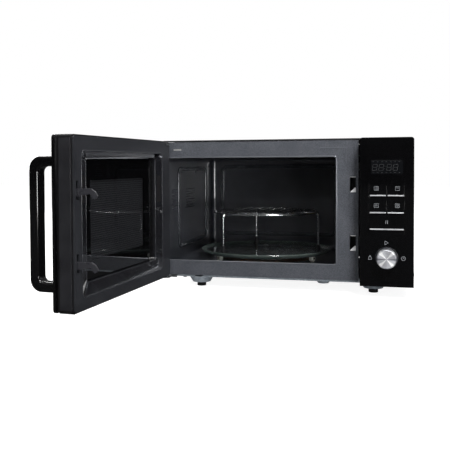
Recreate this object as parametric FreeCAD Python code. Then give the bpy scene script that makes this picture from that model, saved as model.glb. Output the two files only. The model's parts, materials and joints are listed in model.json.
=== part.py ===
import FreeCAD, Part
import math
import os

# Countertop microwave oven with grill, door standing open. All lengths in millimetres.
# Frame: +Z up, front faces -Y, +X to the right of someone facing the oven.
# Origin: on the counter, midway between the four feet.

V = FreeCAD.Vector
X_AXIS, Y_AXIS, Z_AXIS = V(1, 0, 0), V(0, 1, 0), V(0, 0, 1)

# ---- body -------------------------------------------------------------------------------
BODY_W = 485.0
BODY_D = 368.0            # front plate to rear panel, without the door
FACE_Y = -180.0           # front surface of the front plate
REAR_Y = FACE_Y + BODY_D
CASE_Z0, CASE_Z1 = 23.0, 293.0
CASE_X = BODY_W / 2
SHEET = 1.0               # steel sheet
HEM_T, HEM_D = 3.0, 8.0   # folded front edge of the case
SIDE_SCREW_Y, SIDE_SCREW_Z = -166.0, 38.5
REAR_SCREWS = [(x, 283.0) for x in (-232, -120, 0, 120, 232)] + [(-232, 33.0), (232, 33.0)]
PLATE_T = 1.5
PLATE_X0, PLATE_X1 = -239.0, 143.5
PLATE_Z0, PLATE_Z1 = 25.0, 289.5

# ---- cavity -----------------------------------------------------------------------------
CAV_X0, CAV_X1 = -230.5, 102.0
CAV_Y0, CAV_Y1 = FACE_Y + PLATE_T, 168.0
CAV_Z0, CAV_Z1 = 39.0, 261.0
MOUTH_Z0, MOUTH_Z1 = 54.5, 258.5
CAV_CX, CAV_CY = (CAV_X0 + CAV_X1) / 2, -1.0
CAV_R = 10.0

# ---- door and hinge ---------------------------------------------------------------------
HINGE_X, HINGE_Y = -234.0, FACE_Y - 9.0
HINGE_SCREW_X, HINGE_SCREW_Z = -226.5, (30.0, 270.0)
DOOR_OPEN = 93.7          # degrees from shut
DOOR_X0, DOOR_X1 = -240.0, 145.5
DOOR_Z0, DOOR_Z1 = 22.0, 291.5
DOOR_T = 38.0
GLASS_T = 5.0
PIN_R, PIN_FIT = 3.0, 0.08
SLOT_X0, SLOT_X1 = 127.5, 138.7
SLOT_Z = ((191.5, 221.0), (81.5, 110.5))
HOOK_X = 133.1

# ---- control panel ----------------------------------------------------------------------
PANEL_X0, PANEL_X1 = 147.5, 242.5
PANEL_Z0, PANEL_Z1 = 22.0, 292.5
PANEL_Y = FACE_Y - 38.0
PANEL_GLASS = 3.0
KEY_GAP = 0.35
KEY_PROUD = 0.3
KEYS = {                  # name: x0, x1, z0, z1 of the cap
    "key_microwave": (164.4, 194.6, 183.5, 208.0),
    "key_grill": (195.6, 225.8, 183.5, 208.0),
    "key_defrost": (164.4, 194.6, 152.5, 177.0),
    "key_combination": (195.6, 225.8, 152.5, 177.0),
    "key_stop": (164.4, 225.8, 122.5, 147.0),
}
WINDOW = (167.5, 223.0, 226.5, 251.0)
DIAL_X, DIAL_Z, DIAL_R = 195.1, 74.3, 17.5
DIAL_RING_R = 19.3
DIAL_FRONT = PANEL_Y - 20.0

# ---- feet, turntable, rack --------------------------------------------------------------
FOOT_DX, FOOT_DY, FOOT_R = 340.0, 300.0, 9.0
BASE_Z = 20.5
DOME_R, DOME_BOTTOM = 25.0, 8.5
GLASS_R = 142.0
ROLLER_R, ROLLER_PATH = 7.0, 113.0
TRACK_Z = CAV_Z0 + 2 * ROLLER_R + 0.1
RACK_R, RACK_Z, RACK_TURN = 116.0, 141.0, -9.0
WIRE_R, CROSS_R = 2.0, 1.6
LEG_BEND, LEG_REACH = 9.0, 40.0
SLEEVE_R, SLEEVE_H = 3.6, 16.0


# ---- helpers ----------------------------------------------------------------------------
def box(x0, x1, y0, y1, z0, z1):
    return Part.makeBox(x1 - x0, y1 - y0, z1 - z0, V(x0, y0, z0))


def rod(r, start, direction, length):
    return Part.makeCylinder(r, length, V(*start), direction)


def bar(start, end, r):
    a, b = V(*start), V(*end)
    return Part.makeCylinder(r, (b - a).Length, a, b - a)


def fuse(shapes):
    shapes = list(shapes)
    whole = shapes[0]
    if len(shapes) > 1:
        whole = whole.multiFuse(shapes[1:])
    return whole.removeSplitter()


def cut(shape, tools):
    tools = list(tools)
    return shape.cut(Part.makeCompound(tools)) if tools else shape


def group(shapes):
    return Part.makeCompound(list(shapes))


def divided(shape, cells):
    """One pressed shape kept as touching solids, one to a cell, each close to convex."""
    return group(solid for cell in cells for solid in shape.common(box(*cell)).Solids)


def along(shape, axis):
    """Edges of a shape that run straight along an axis."""
    return [e for e in shape.Edges if isinstance(e.Curve, Part.Line)
            and abs(e.Curve.Direction.dot(axis)) > 0.999]


def slab(x0, x1, z0, z1, y0, y1, r):
    """Upright plate with rounded corners, seen from the front."""
    body = box(x0, x1, y0, y1, z0, z1)
    return body.makeFillet(r, along(body, Y_AXIS)) if r else body


def hollow_slab(x0, x1, z0, z1, y0, y1, r, wall):
    outer = slab(x0, x1, z0, z1, y0, y1, r)
    return outer.cut(slab(x0 + wall, x1 - wall, z0 + wall, z1 - wall, y0 - 1, y1 + 1,
                          max(r - wall, 0.5)))


def spun(profile, x, y):
    """Solid of revolution about a vertical axis from (radius, z) points."""
    points = [V(x + r, y, z) for r, z in profile]
    face = Part.Face(Part.makePolygon(points + [points[0]]))
    return face.revolve(V(x, y, 0), Z_AXIS, 360)


def spun_y(profile, x, z):
    """Solid of revolution about an axis running front to back from (radius, y) points."""
    points = [V(x + r, y, z) for r, y in profile]
    face = Part.Face(Part.makePolygon(points + [points[0]]))
    return face.revolve(V(x, 0, z), Y_AXIS, 360)


def arc_tube(r_wire, radius, x, y, z):
    return Part.makeTorus(radius, r_wire, V(x, y, z))


def holes_x(xs, y_range, z_range, nx, nz, r):
    """Drilled field through a wall that faces sideways."""
    (y0, y1), (z0, z1) = y_range, z_range
    for i in range(nx):
        for j in range(nz):
            y = y0 + (y1 - y0) * (i + 0.5 * (j % 2)) / nx
            yield rod(r, (xs[0], y, z0 + (z1 - z0) * j / (nz - 1)), X_AXIS, xs[1] - xs[0])


def open_door(shape):
    """Swing a piece built in the shut position to the standing-open position."""
    swung = shape.copy()
    swung.rotate(V(HINGE_X, HINGE_Y, 0), Z_AXIS, -DOOR_OPEN)
    return swung


def screw_y(x, y, z, head_r=3.5, shank=6.0, towards=1):
    """Pan-head screw; the head sits on the face at y, the shank runs on past it."""
    head = rod(head_r, (x, y, z), V(0, -towards, 0), 2.2)
    slot = box(x - head_r, x + head_r, y - towards * 2.2 - 0.5, y - towards * 2.2 + 0.5,
               z - 0.5, z + 0.5)
    shaft = rod(1.6, (x, y, z), V(0, towards, 0), shank)
    return fuse([head.cut(slot), shaft])


PARTS = {}


# ---- steel body -------------------------------------------------------------------------
def outer_case():
    y0, y1 = FACE_Y - 0.5, REAR_Y
    outer = box(-CASE_X, CASE_X, y0, y1, CASE_Z0, CASE_Z1)
    rim = along(outer, Y_AXIS)
    outer = outer.makeFillet(4.0, [e for e in rim if e.CenterOfMass.z > CASE_Z0 + 1])
    inner = box(-CASE_X + SHEET, CASE_X - SHEET, y0 - 1, y1 + 1, CASE_Z0 - 1, CASE_Z1 - SHEET)
    inner = inner.makeFillet(3.0, [e for e in along(inner, Y_AXIS) if e.CenterOfMass.z > CASE_Z0])
    shell = outer.cut(inner)
    hem_out = box(-CASE_X + 0.5, CASE_X - 0.5, y0, y0 + HEM_D, CASE_Z0, CASE_Z1 - 0.5)
    hem_out = hem_out.makeFillet(3.5, [e for e in along(hem_out, Y_AXIS) if e.CenterOfMass.z > 30])
    hem_in = box(-CASE_X + HEM_T, CASE_X - HEM_T, y0 - 1, y0 + HEM_D + 1, CASE_Z0 - 1,
                 CASE_Z1 - HEM_T)
    louvres = []
    for side in (-1, 1):
        for row, y_start in enumerate((-60, 20, 100)):
            for i in range(7):
                z = 225 + 7 * i if side > 0 else 60 + 7 * i
                louvres.append(box(side * CASE_X - 3, side * CASE_X + 3, y_start,
                                   y_start + 60, z, z + 3))
    holes = [rod(1.7, (-CASE_X - 1, SIDE_SCREW_Y, SIDE_SCREW_Z), X_AXIS, 2 * CASE_X + 2)]
    wrap = cut(fuse([shell, hem_out.cut(hem_in)]), louvres + holes)
    far, turn = CASE_X + 1, CASE_X - 4.0
    depth_height = (y0 - 1, y1 + 1, CASE_Z0 - 1, CASE_Z1 + 1)
    return divided(wrap, [(-far, -turn, *depth_height), (-turn, turn, *depth_height),
                          (turn, far, *depth_height)])


def base_plate():
    x, y0, y1 = CASE_X - 1.6, FACE_Y + HEM_D, REAR_Y - 3
    sheet = box(-x, x, y0, y1, BASE_Z, BASE_Z + SHEET)
    flanges = [box(-x, x, y0, y0 + SHEET, BASE_Z, BASE_Z + 9),
               box(-x, -x + SHEET, y0, y1, BASE_Z, BASE_Z + 12),
               box(x - SHEET, x, y0, y1, BASE_Z, BASE_Z + 12)]
    domes, wells = [], []
    spots = [(sx * FOOT_DX / 2, sy * FOOT_DY / 2, DOME_R, DOME_BOTTOM)
             for sx in (-1, 1) for sy in (-1, 1)]
    spots.append((74.0, -138.0, 17.0, 12.0))
    for cx, cy, r, low in spots:
        top = BASE_Z + SHEET
        domes.append(spun([(0, low), (r - 7, low), (r, top - 1), (r, top), (0, top)], cx, cy))
        wells.append(spun([(0, low + SHEET), (r - 7.6, low + SHEET), (r - 1.4, top), (r - 1.4, top + 2),
                           (0, top + 2)], cx, cy))
        if low == DOME_BOTTOM:
            wells.append(rod(3.1, (cx, cy, low - 1), Z_AXIS, 4))
    vents = [box(-150 + 16 * i, -142 + 16 * i, 60, 100, BASE_Z - 1, BASE_Z + 2) for i in range(12)]
    motor_hatch = hatch_gap(CAV_CX, CAV_CY, 36, 38)
    return cut(fuse([sheet] + flanges + domes), wells + vents + [motor_hatch])


def hatch_gap(cx, cy, r_in, r_out):
    """Thin part-ring slots round the knock-out cover under the turntable motor."""
    ring = rod(r_out, (cx, cy, BASE_Z - 1), Z_AXIS, 3).cut(rod(r_in, (cx, cy, BASE_Z - 2), Z_AXIS, 5))
    bridge = box(cx - 4, cx + 4, cy - 50, cy + 50, BASE_Z - 3, BASE_Z + 4)
    return ring.cut(bridge)


def rear_panel():
    x = CASE_X - 1.6
    panel = box(-x, x, REAR_Y - 2.0, REAR_Y - 1.0, BASE_Z + 1.5, CASE_Z1 - 1.6)
    panel = panel.makeFillet(3.0, [e for e in along(panel, Y_AXIS) if e.CenterOfMass.z > 100])
    slots = [box(128 + 9 * i, 132 + 9 * i, REAR_Y - 4, REAR_Y, 130, 220) for i in range(10)]
    slots += [box(-205 + 9 * i, -201 + 9 * i, REAR_Y - 4, REAR_Y, 215, 270) for i in range(12)]
    holes = [rod(1.7, (sx, REAR_Y - 5, sz), Y_AXIS, 8) for sx, sz in REAR_SCREWS]
    gland = rod(8.2, (205, REAR_Y - 5, 60), Y_AXIS, 8)
    return cut(panel, slots + holes + [gland])


def front_plate():
    plate = box(PLATE_X0, PLATE_X1, FACE_Y, FACE_Y + PLATE_T, PLATE_Z0, PLATE_Z1)
    upper = [e for e in along(plate, Y_AXIS) if e.CenterOfMass.z > 100]
    plate = plate.makeFillet(6.0, upper)
    mouth = slab(CAV_X0, CAV_X1, MOUTH_Z0, MOUTH_Z1, FACE_Y - 5, FACE_Y + 5, 4.0)
    tools = [mouth]
    for z0, z1 in SLOT_Z:
        tools.append(box(SLOT_X0, SLOT_X1, FACE_Y - 5, FACE_Y + 5, z0, z1))
    tools.append(box(PLATE_X0 - 1, -226.5, FACE_Y - 5, FACE_Y + 5, 283.4, 286.8))
    tools.append(slab(-218.0, -203.5, 272.0, 276.8, FACE_Y - 5, FACE_Y + 5, 2.3))
    plate = cut(plate, tools)
    rim = slab(CAV_X0 - 4, CAV_X1 + 4, MOUTH_Z0 - 4, MOUTH_Z1 + 4, FACE_Y - 0.4, FACE_Y, 7.0)
    bead_h = box(70.0, 113.0, FACE_Y - 0.6, FACE_Y, 274.4, 276.4)
    bead_v = box(119.5, 121.5, FACE_Y - 0.6, FACE_Y, 60.0, 268.0)
    dimple = rod(2.5, (135.0, FACE_Y - 0.5, 276.3), Y_AXIS, 0.5)
    corner = arc_piece(113.0, 268.0, 7.5, 2.0)
    plate = fuse([plate, rim.cut(mouth), bead_h, bead_v, dimple, corner])
    left, right = CAV_X0 + 4.0, CAV_X1 - 4.0
    near = (FACE_Y - 2, FACE_Y + 5)
    (top0, top1), (low0, low1) = SLOT_Z
    cells = [(PLATE_X0 - 1, left, *near, 0, 300), (left, right, *near, 0, 150),
             (left, right, *near, 150, 300), (right, SLOT_X0, *near, 0, 300),
             (SLOT_X1, PLATE_X1 + 1, *near, 0, 300)]
    cells += [(SLOT_X0, SLOT_X1, *near, z0, z1) for z0, z1 in ((0, low0), (low1, top0), (top1, 300))]
    return divided(plate, cells)


def arc_piece(cx, cz, radius, width):
    """Quarter ring joining the level and the upright bead pressed in the plate."""
    ring = rod(radius + width / 2, (cx, FACE_Y - 0.6, cz), Y_AXIS, 0.6)
    ring = ring.cut(rod(radius - width / 2, (cx, FACE_Y - 2, cz), Y_AXIS, 4))
    return ring.common(box(cx, cx + 20, FACE_Y - 3, FACE_Y + 1, cz, cz + 20))


def round_back(x0, x1, y0, y1, z0, z1, r):
    """Box rounded along the back rim and along its four long edges."""
    body = box(x0, x1, y0, y1, z0, z1)
    edges = along(body, Y_AXIS) + [e for e in body.Edges if e.CenterOfMass.y > y1 - 0.01]
    return body.makeFillet(r, edges)


def cavity():
    outer = round_back(CAV_X0 - SHEET, CAV_X1 + SHEET, CAV_Y0, CAV_Y1 + SHEET, CAV_Z0 - SHEET,
                       CAV_Z1 + SHEET, CAV_R + SHEET)
    inner = round_back(CAV_X0, CAV_X1, CAV_Y0 - 5, CAV_Y1, CAV_Z0, CAV_Z1, CAV_R)
    side = emboss_frame_x(CAV_X0, -115, 111, 70, 240)
    back = emboss_frame_y(CAV_Y1, -207.5, 79.0, 71, 244)
    shell = fuse([outer.cut(inner), side, back])
    tools = list(holes_x((CAV_X0 - 3, CAV_X0 + 4), (-154, -104), (153, 193), 9, 8, 1.6))
    tools += list(holes_x((CAV_X0 - 3, CAV_X0 + 4), (-58, 14), (152, 192), 13, 8, 1.6))
    tools += list(holes_x((CAV_X1 - 2, CAV_X1 + 3), (112, 148), (218, 246), 7, 6, 1.6))
    for i in range(16):
        for j in range(10):
            tools.append(rod(3.0, (CAV_CX - 86 + 11 * i + 5.5 * (j % 2), -100 + 11 * j, CAV_Z1 - 2),
                             Z_AXIS, 5))
    tools.append(rod(8.0, (CAV_CX, CAV_CY, CAV_Z0 - 4), Z_AXIS, 8))
    tools.append(box(CAV_X1 - 2, CAV_X1 + 3, -28, 28, 158, 212))
    xs = (CAV_X0 - 5, CAV_X0 + CAV_R, CAV_X1 - CAV_R, CAV_X1 + 5)
    ys = (CAV_Y0 - 5, CAV_Y1 - CAV_R, CAV_Y1 + 5)
    zs = (CAV_Z0 - 5, CAV_Z0 + CAV_R, CAV_Z1 - CAV_R, CAV_Z1 + 5)
    return divided(cut(shell, tools), [(x0, x1, y0, y1, z0, z1) for x0, x1 in zip(xs, xs[1:])
                                       for y0, y1 in zip(ys, ys[1:]) for z0, z1 in zip(zs, zs[1:])])


def emboss_frame_x(x, y0, y1, z0, z1):
    """Raised rounded band pressed into the left wall."""
    out = box(x - 0.3, x + 1.2, y0, y1, z0, z1)
    hole = box(x - 1, x + 2, y0 + 9, y1 - 9, z0 + 9, z1 - 9)
    out = out.makeFillet(14.0, along(out, X_AXIS))
    return out.cut(hole.makeFillet(8.0, along(hole, X_AXIS)))


def emboss_frame_y(y, x0, x1, z0, z1):
    """Raised rounded band pressed into the back wall."""
    return slab(x0, x1, z0, z1, y - 1.2, y + 0.3, 18.0).cut(
        slab(x0 + 9, x1 - 9, z0 + 9, z1 - 9, y - 3, y + 2, 11.0))


def rubber_feet():
    feet = []
    for sx in (-1, 1):
        for sy in (-1, 1):
            x, y = sx * FOOT_DX / 2, sy * FOOT_DY / 2
            feet.append(spun([(0, 0), (FOOT_R, 0), (FOOT_R, DOME_BOTTOM - 0.05), (2.9, DOME_BOTTOM - 0.05),
                              (2.9, DOME_BOTTOM + 1.2), (4.2, DOME_BOTTOM + 1.2), (2.6, DOME_BOTTOM + 5),
                              (0, DOME_BOTTOM + 5)], x, y))
    return group(feet)


def plate_plug():
    flange = slab(-219.5, -202.0, 270.6, 278.2, FACE_Y - 1.0, FACE_Y - 0.02, 3.4)
    shank = slab(-217.9, -203.6, 272.1, 276.7, FACE_Y - 0.5, FACE_Y + 4, 2.2)
    return fuse([flange, shank])


# ---- hinge ------------------------------------------------------------------------------
def hinge_lower():
    leg = box(-238, -214, FACE_Y + PLATE_T + 0.05, FACE_Y + PLATE_T + 2.0, 18.9, 37.5)
    arm = box(-240, -226, HINGE_Y - 7, FACE_Y + PLATE_T + 2.0, 18.9, 21.2)
    arm = arm.makeFillet(6.0, [e for e in along(arm, Z_AXIS) if e.CenterOfMass.y < HINGE_Y])
    pin = rod(PIN_R, (HINGE_X, HINGE_Y, 20), Z_AXIS, 15)
    hole = rod(2.0, (HINGE_SCREW_X, FACE_Y, HINGE_SCREW_Z[0]), Y_AXIS, 8)
    return fuse([leg, arm, pin]).cut(hole)


def hinge_upper():
    leg = box(-238, -219.5, FACE_Y + PLATE_T + 0.05, FACE_Y + PLATE_T + 2.0, 263.0, 286.2)
    arm = box(-238.5, -227, HINGE_Y - 7, FACE_Y + PLATE_T + 2.0, 284.0, 286.2)
    arm = arm.makeFillet(5.5, [e for e in along(arm, Z_AXIS) if e.CenterOfMass.y < HINGE_Y])
    pin = rod(PIN_R, (HINGE_X, HINGE_Y, 270.5), Z_AXIS, 15)
    hole = rod(2.0, (HINGE_SCREW_X, FACE_Y, HINGE_SCREW_Z[1]), Y_AXIS, 8)
    return fuse([leg, arm, pin]).cut(hole)


def hinge_screws():
    screws = []
    for z in HINGE_SCREW_Z:
        y = FACE_Y + PLATE_T + 2.05
        screws.append(screw_y(HINGE_SCREW_X, y, z, 3.2, 1.9, -1))
    return group(screws)


# ---- door (built shut, then swung open) -------------------------------------------------
def door_y(n):
    """Y of a depth n measured from the front plate, negative towards the user."""
    return FACE_Y + n


LEAF_CUT = (DOOR_X0 - 1, HINGE_X + 13, door_y(-19), door_y(2), 283.3, 286.9)


def door_frame():
    y0, y1 = door_y(-DOOR_T + GLASS_T), door_y(-4)
    ring = slab(DOOR_X0, DOOR_X1, DOOR_Z0, DOOR_Z1, y0, y1, 5.0)
    room = slab(DOOR_X0 + 4, DOOR_X1 - 3, DOOR_Z0 + 3, DOOR_Z1 - 3, y0 + 3, y1 + 1, 3.0)
    sight = slab(-200, 100, 62, 252, y0 - 1, y0 + 4, 6.0)
    groove = slab(DOOR_X0 - 1, DOOR_X1 + 1, DOOR_Z0 - 1, DOOR_Z1 + 1, y0, y0 + 5, 6.0).cut(
        slab(DOOR_X0 + 1.5, DOOR_X1 - 1.5, DOOR_Z0 + 1.5, DOOR_Z1 - 1.5, y0 - 1, y0 + 6, 4.0))
    body = cut(ring, [room, sight, groove])
    blocks = [box(DOOR_X0 + 1, HINGE_X + 9, door_y(-18), y1, DOOR_Z0, DOOR_Z0 + 20),
              box(DOOR_X0 + 1, HINGE_X + 9, door_y(-18), y1, DOOR_Z1 - 26, DOOR_Z1 - 1)]
    posts = [box(126, 140, y0 + 2, door_y(-21), z - 8, z + 8) for z in (60, 251)]
    anchor = box(136.5, DOOR_X1 - 2, door_y(-24), door_y(-18), 175, 178)
    body = fuse([body] + blocks + posts + [anchor])
    bores = [rod(PIN_R + PIN_FIT, (HINGE_X, HINGE_Y, DOOR_Z0 - 1), Z_AXIS, 17),
             rod(PIN_R + PIN_FIT, (HINGE_X, HINGE_Y, 269), Z_AXIS, 16)]
    bores += [rod(2.3, (129, y0 - 1, z), Y_AXIS, 14) for z in (60, 251)]
    return cut(body, bores + [box(*LEAF_CUT)])


def door_glass():
    y0 = door_y(-DOOR_T)
    pane = slab(DOOR_X0, DOOR_X1, DOOR_Z0, DOOR_Z1, y0, y0 + GLASS_T - 0.05, 6.0)
    front = [e for e in pane.Edges if abs(e.CenterOfMass.y - y0) < 0.01]
    pane = pane.makeFillet(1.2, front)
    return cut(pane, [rod(2.4, (129, y0 - 1, z), Y_AXIS, 8) for z in (60, 251)])


def door_mesh():
    """Steel pan with the perforated window and a folded choke rim."""
    x0, x1, z0, z1 = -222.0, 115.0, 31.0, 283.0
    y = door_y(-17)
    sheet = box(x0, x1, y, y + 1, z0, z1)
    rim = box(x0, x1, y - 11, y + 1, z0, z1).cut(box(x0 + 1, x1 - 1, y - 12, y + 2, z0 + 1, z1 - 1))
    lip = box(x0, x1, y - 12, y - 11, z0, z1).cut(
        box(x0 + 9, x1 - 9, y - 13, y - 10, z0 + 9, z1 - 9))
    holes = []
    for i in range(25):
        for j in range(15):
            holes.append(rod(2.6, (-133 + 8.2 * i + 4.1 * (j % 2), y - 2, 97 + 8.3 * j), Y_AXIS, 5))
    return cut(fuse([sheet, rim, lip]), holes)


def door_inner_frame():
    x0, x1, z0, z1 = HINGE_X - 3, HINGE_X + 376.5, 24.5, 289.0
    y0, y1 = door_y(-4) + 0.05, door_y(-1)
    cover = slab(x0, x1, z0, z1, y0, y1, 4.0)
    rx0, rx1, rz0, rz1 = HINGE_X + 36, HINGE_X + 353, 43.5, 266.5
    recess = slab(rx0, rx1, rz0, rz1, door_y(-20), y1 + 1, 8.0)
    walls = slab(rx0 - 1.5, rx1 + 1.5, rz0 - 1.5, rz1 + 1.5, door_y(-13), y0 + 0.5, 9.5)
    slots = [slab(HOOK_X - 3.6, HOOK_X + 3.6, z0s, z0s + 29, y0 - 2, y1 + 2, 1.5)
             for z0s in (193.0, 82.5)]
    body = fuse([cover, walls])
    return cut(body, [recess, box(*LEAF_CUT)] + slots)


def door_inner_pane():
    y = door_y(-14.4)
    return slab(HINGE_X + 34, HINGE_X + 355, 41.5, 268.5, y, y + 1.2, 9.0)


def door_latch():
    """Two hooks on one sliding bar."""
    spine = box(HOOK_X - 2.0, HOOK_X + 2.0, door_y(-17), door_y(-8), 78, 212)
    tab = box(HOOK_X - 2.0, HOOK_X + 9.0, door_y(-22), door_y(-17), 146, 149)
    hooks = []
    for z0, z1 in SLOT_Z:
        b = z0 + 2.5                     # lowest point of the head
        pts = [(-9, b + 3), (-9, b + 16), (6, b + 16), (22, b + 16.5), (29, b + 12), (33, b + 5),
               (30, b + 1), (26.5, b), (23.5, b + 4), (21, b + 8), (8, b + 6)]
        wire = Part.makePolygon([V(HOOK_X - 2.0, door_y(n), z) for n, z in pts + pts[:1]])
        hooks.append(Part.Face(wire).extrude(V(4.0, 0, 0)))
    return fuse([spine, tab] + hooks)


def latch_spring():
    x, y = HOOK_X + 6.2, door_y(-20)
    low, high, coil_r, wire_r = 149.6, 174.4, 2.2, 0.4
    helix = Part.makeHelix((high - low) / 8, high - low, coil_r)
    section = Part.Wire([Part.Circle(V(coil_r, 0, 0), Y_AXIS, wire_r).toShape()])
    coil = Part.Wire(helix).makePipeShell([section], True, True)
    coil.translate(V(x, y, low))
    return coil


def handle():
    """D-shaped bar standing off the outer glass."""
    x0, x1 = HINGE_X + 352, HINGE_X + 374
    y_out, y_in, y_root = door_y(-81), door_y(-65), door_y(-DOOR_T) - 0.05
    z0, z1 = 52.0, 259.0
    outer = box(x0, x1, y_out, y_root, z0, z1)
    outer = outer.makeFillet(19.0, [e for e in along(outer, X_AXIS) if e.CenterOfMass.y < y_out + 1])
    inner = box(x0 - 5, x1 + 5, y_in, y_root + 5, z0 + 15.5, z1 - 15.5)
    inner = inner.makeFillet(9.0, [e for e in along(inner, X_AXIS) if e.CenterOfMass.y < y_in + 1])
    grip = outer.cut(inner)
    ends = [e for e in grip.Edges if abs(e.CenterOfMass.y - y_root) > 0.5
            and (abs(e.CenterOfMass.x - x0) < 0.01 or abs(e.CenterOfMass.x - x1) < 0.01)]
    grip = grip.makeFillet(3.5, ends)
    return cut(grip, [rod(1.7, (129, y_root - 14, z), Y_AXIS, 20) for z in (60, 251)])


def handle_screws():
    y = door_y(-DOOR_T + GLASS_T) + 3.05
    return group([fuse([rod(4.0, (129, y + 9.0, z), Y_AXIS, 2.4),
                        rod(1.6, (129, y - 19, z), Y_AXIS, 28.5)]) for z in (60, 251)])


# ---- control panel ----------------------------------------------------------------------
def control_housing():
    y0, y1 = PANEL_Y + PANEL_GLASS, FACE_Y - 0.55
    shell = hollow_slab(PANEL_X0, PANEL_X1, PANEL_Z0, PANEL_Z1, y0, y1, 5.5, 2.4)
    back = slab(PANEL_X0 + 1, PANEL_X1 - 1, PANEL_Z0 + 1, PANEL_Z1 - 1, y1 - 2, y1, 4.5)
    loom = box(180, 215, y1 - 5, y1 + 2, 160, 200)
    posts = [rod(3.0, (x, y0 + 2, z), Y_AXIS, y1 - y0 - 3)
             for x in (156, 234) for z in (32, 110, 215, 282)]
    return cut(fuse([shell, back] + posts), [loom])


def control_glass():
    pane = slab(PANEL_X0, PANEL_X1, PANEL_Z0, PANEL_Z1, PANEL_Y, PANEL_Y + PANEL_GLASS - 0.05, 6.0)
    front = [e for e in pane.Edges if abs(e.CenterOfMass.y - PANEL_Y) < 0.01]
    pane = pane.makeFillet(1.2, front)
    tools = [slab(x0 - KEY_GAP, x1 + KEY_GAP, z0 - KEY_GAP, z1 + KEY_GAP, PANEL_Y - 2,
                  PANEL_Y + 5, 1.2) for x0, x1, z0, z1 in KEYS.values()]
    tools.append(rod(DIAL_RING_R + 0.05, (DIAL_X, PANEL_Y - 2, DIAL_Z), Y_AXIS, 8))
    return cut(pane, tools)


def key_cap(x0, x1, z0, z1):
    front, back = PANEL_Y - KEY_PROUD, PANEL_Y + 4.5
    cap = slab(x0, x1, z0, z1, front, back, 1.0)
    flange = box(x0 - 0.45, x1 + 0.45, PANEL_Y + PANEL_GLASS + 0.2, back, z0 - 1.2, z1 + 1.2)
    ledge = slab(x0 + 0.8, x1 - 0.8, z0 + 2.6, z0 + 5.6, front - 0.5, front + 1, 1.4)
    mid = (x0 + x1) / 2
    stem = box(mid - 2, mid + 2, back - 0.5, PANEL_Y + 8.8, (z0 + z1) / 2 - 2, (z0 + z1) / 2 + 2)
    return fuse([cap, flange, ledge, stem])


def key_carrier():
    y = PANEL_Y + 6.0
    plate = slab(PANEL_X0 + 12.5, PANEL_X1 - 12.5, 118, 213, y, y + 1.6, 3.0)
    tools = []
    for x0, x1, z0, z1 in KEYS.values():
        mid, mz = (x0 + x1) / 2, (z0 + z1) / 2
        tools.append(box(mid - 2.4, mid + 2.4, y - 1, y + 3, mz - 2.4, mz + 2.4))
    return cut(plate, tools)


def control_board():
    y = PANEL_Y + 12.0
    board = box(PANEL_X0 + 14, PANEL_X1 - 14, y, y + 1.6, 40, 262)
    switches = []
    for x0, x1, z0, z1 in KEYS.values():
        mid, mz = (x0 + x1) / 2, (z0 + z1) / 2
        switches.append(box(mid - 3, mid + 3, y - 2.2, y + 0.5, mz - 3, mz + 3))
    relays = [box(168, 186, y + 1, y + 14, z, z + 15) for z in (95, 120)]
    chip = box(192, 214, y + 1, y + 4, 205, 227)
    return fuse([board, chip] + switches + relays)


def display_module():
    x0, x1, z0, z1 = WINDOW
    return box(x0 - 3, x1 + 3, PANEL_Y + PANEL_GLASS + 0.5, PANEL_Y + 11.9, z0 - 3, z1 + 3)


def dial_ring():
    return spun_y([(18.2, PANEL_Y - 0.6), (DIAL_RING_R - 0.4, PANEL_Y - 0.6), (DIAL_RING_R, PANEL_Y - 0.2),
                   (DIAL_RING_R, PANEL_Y + 5.0), (4.2, PANEL_Y + 5.0), (4.2, PANEL_Y + 3.8),
                   (18.2, PANEL_Y + 3.8)], DIAL_X, DIAL_Z)


def dial_encoder():
    y0, y1 = PANEL_Y + 5.2, PANEL_Y + 11.95
    body = box(DIAL_X - 7, DIAL_X + 7, y0, y1, DIAL_Z - 7, DIAL_Z + 7)
    return body.cut(rod(3.08, (DIAL_X, y0 - 1, DIAL_Z), Y_AXIS, 20))


def dial_shaft():
    return rod(3.0, (DIAL_X, DIAL_FRONT + 4.0, DIAL_Z), Y_AXIS, PANEL_Y + 10.0 - DIAL_FRONT - 4.0)


def dial_knob():
    f = DIAL_FRONT
    back = PANEL_Y + 1.2
    skirt = spun_y([(0, f), (DIAL_R - 1.5, f), (DIAL_R, f + 1.5), (DIAL_R, back), (DIAL_R - 2, back),
                    (DIAL_R - 2, f + 4), (6, f + 4), (6, back), (3.08, back), (3.08, f + 3.5),
                    (0, f + 3.5)], DIAL_X, DIAL_Z)
    return skirt.cut(rod(DIAL_R - 2.4, (DIAL_X, f - 1, DIAL_Z), Y_AXIS, 1.8))


def dial_cap():
    return rod(DIAL_R - 2.45, (DIAL_X, DIAL_FRONT + 0.1, DIAL_Z), Y_AXIS, 0.65)


# ---- cavity contents --------------------------------------------------------------------
def drive_coupler():
    hub = rod(5.5, (CAV_CX, CAV_CY, CAV_Z0 - 0.5), Z_AXIS, 9.5)
    lobes = []
    for k in range(3):
        lobe = box(CAV_CX - 3, CAV_CX + 14, CAV_CY - 3, CAV_CY + 3, CAV_Z0 + 3, CAV_Z0 + 12)
        lobe.rotate(V(CAV_CX, CAV_CY, 0), Z_AXIS, 30 + 120 * k)
        lobes.append(lobe)
    return fuse([hub] + lobes)


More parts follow.
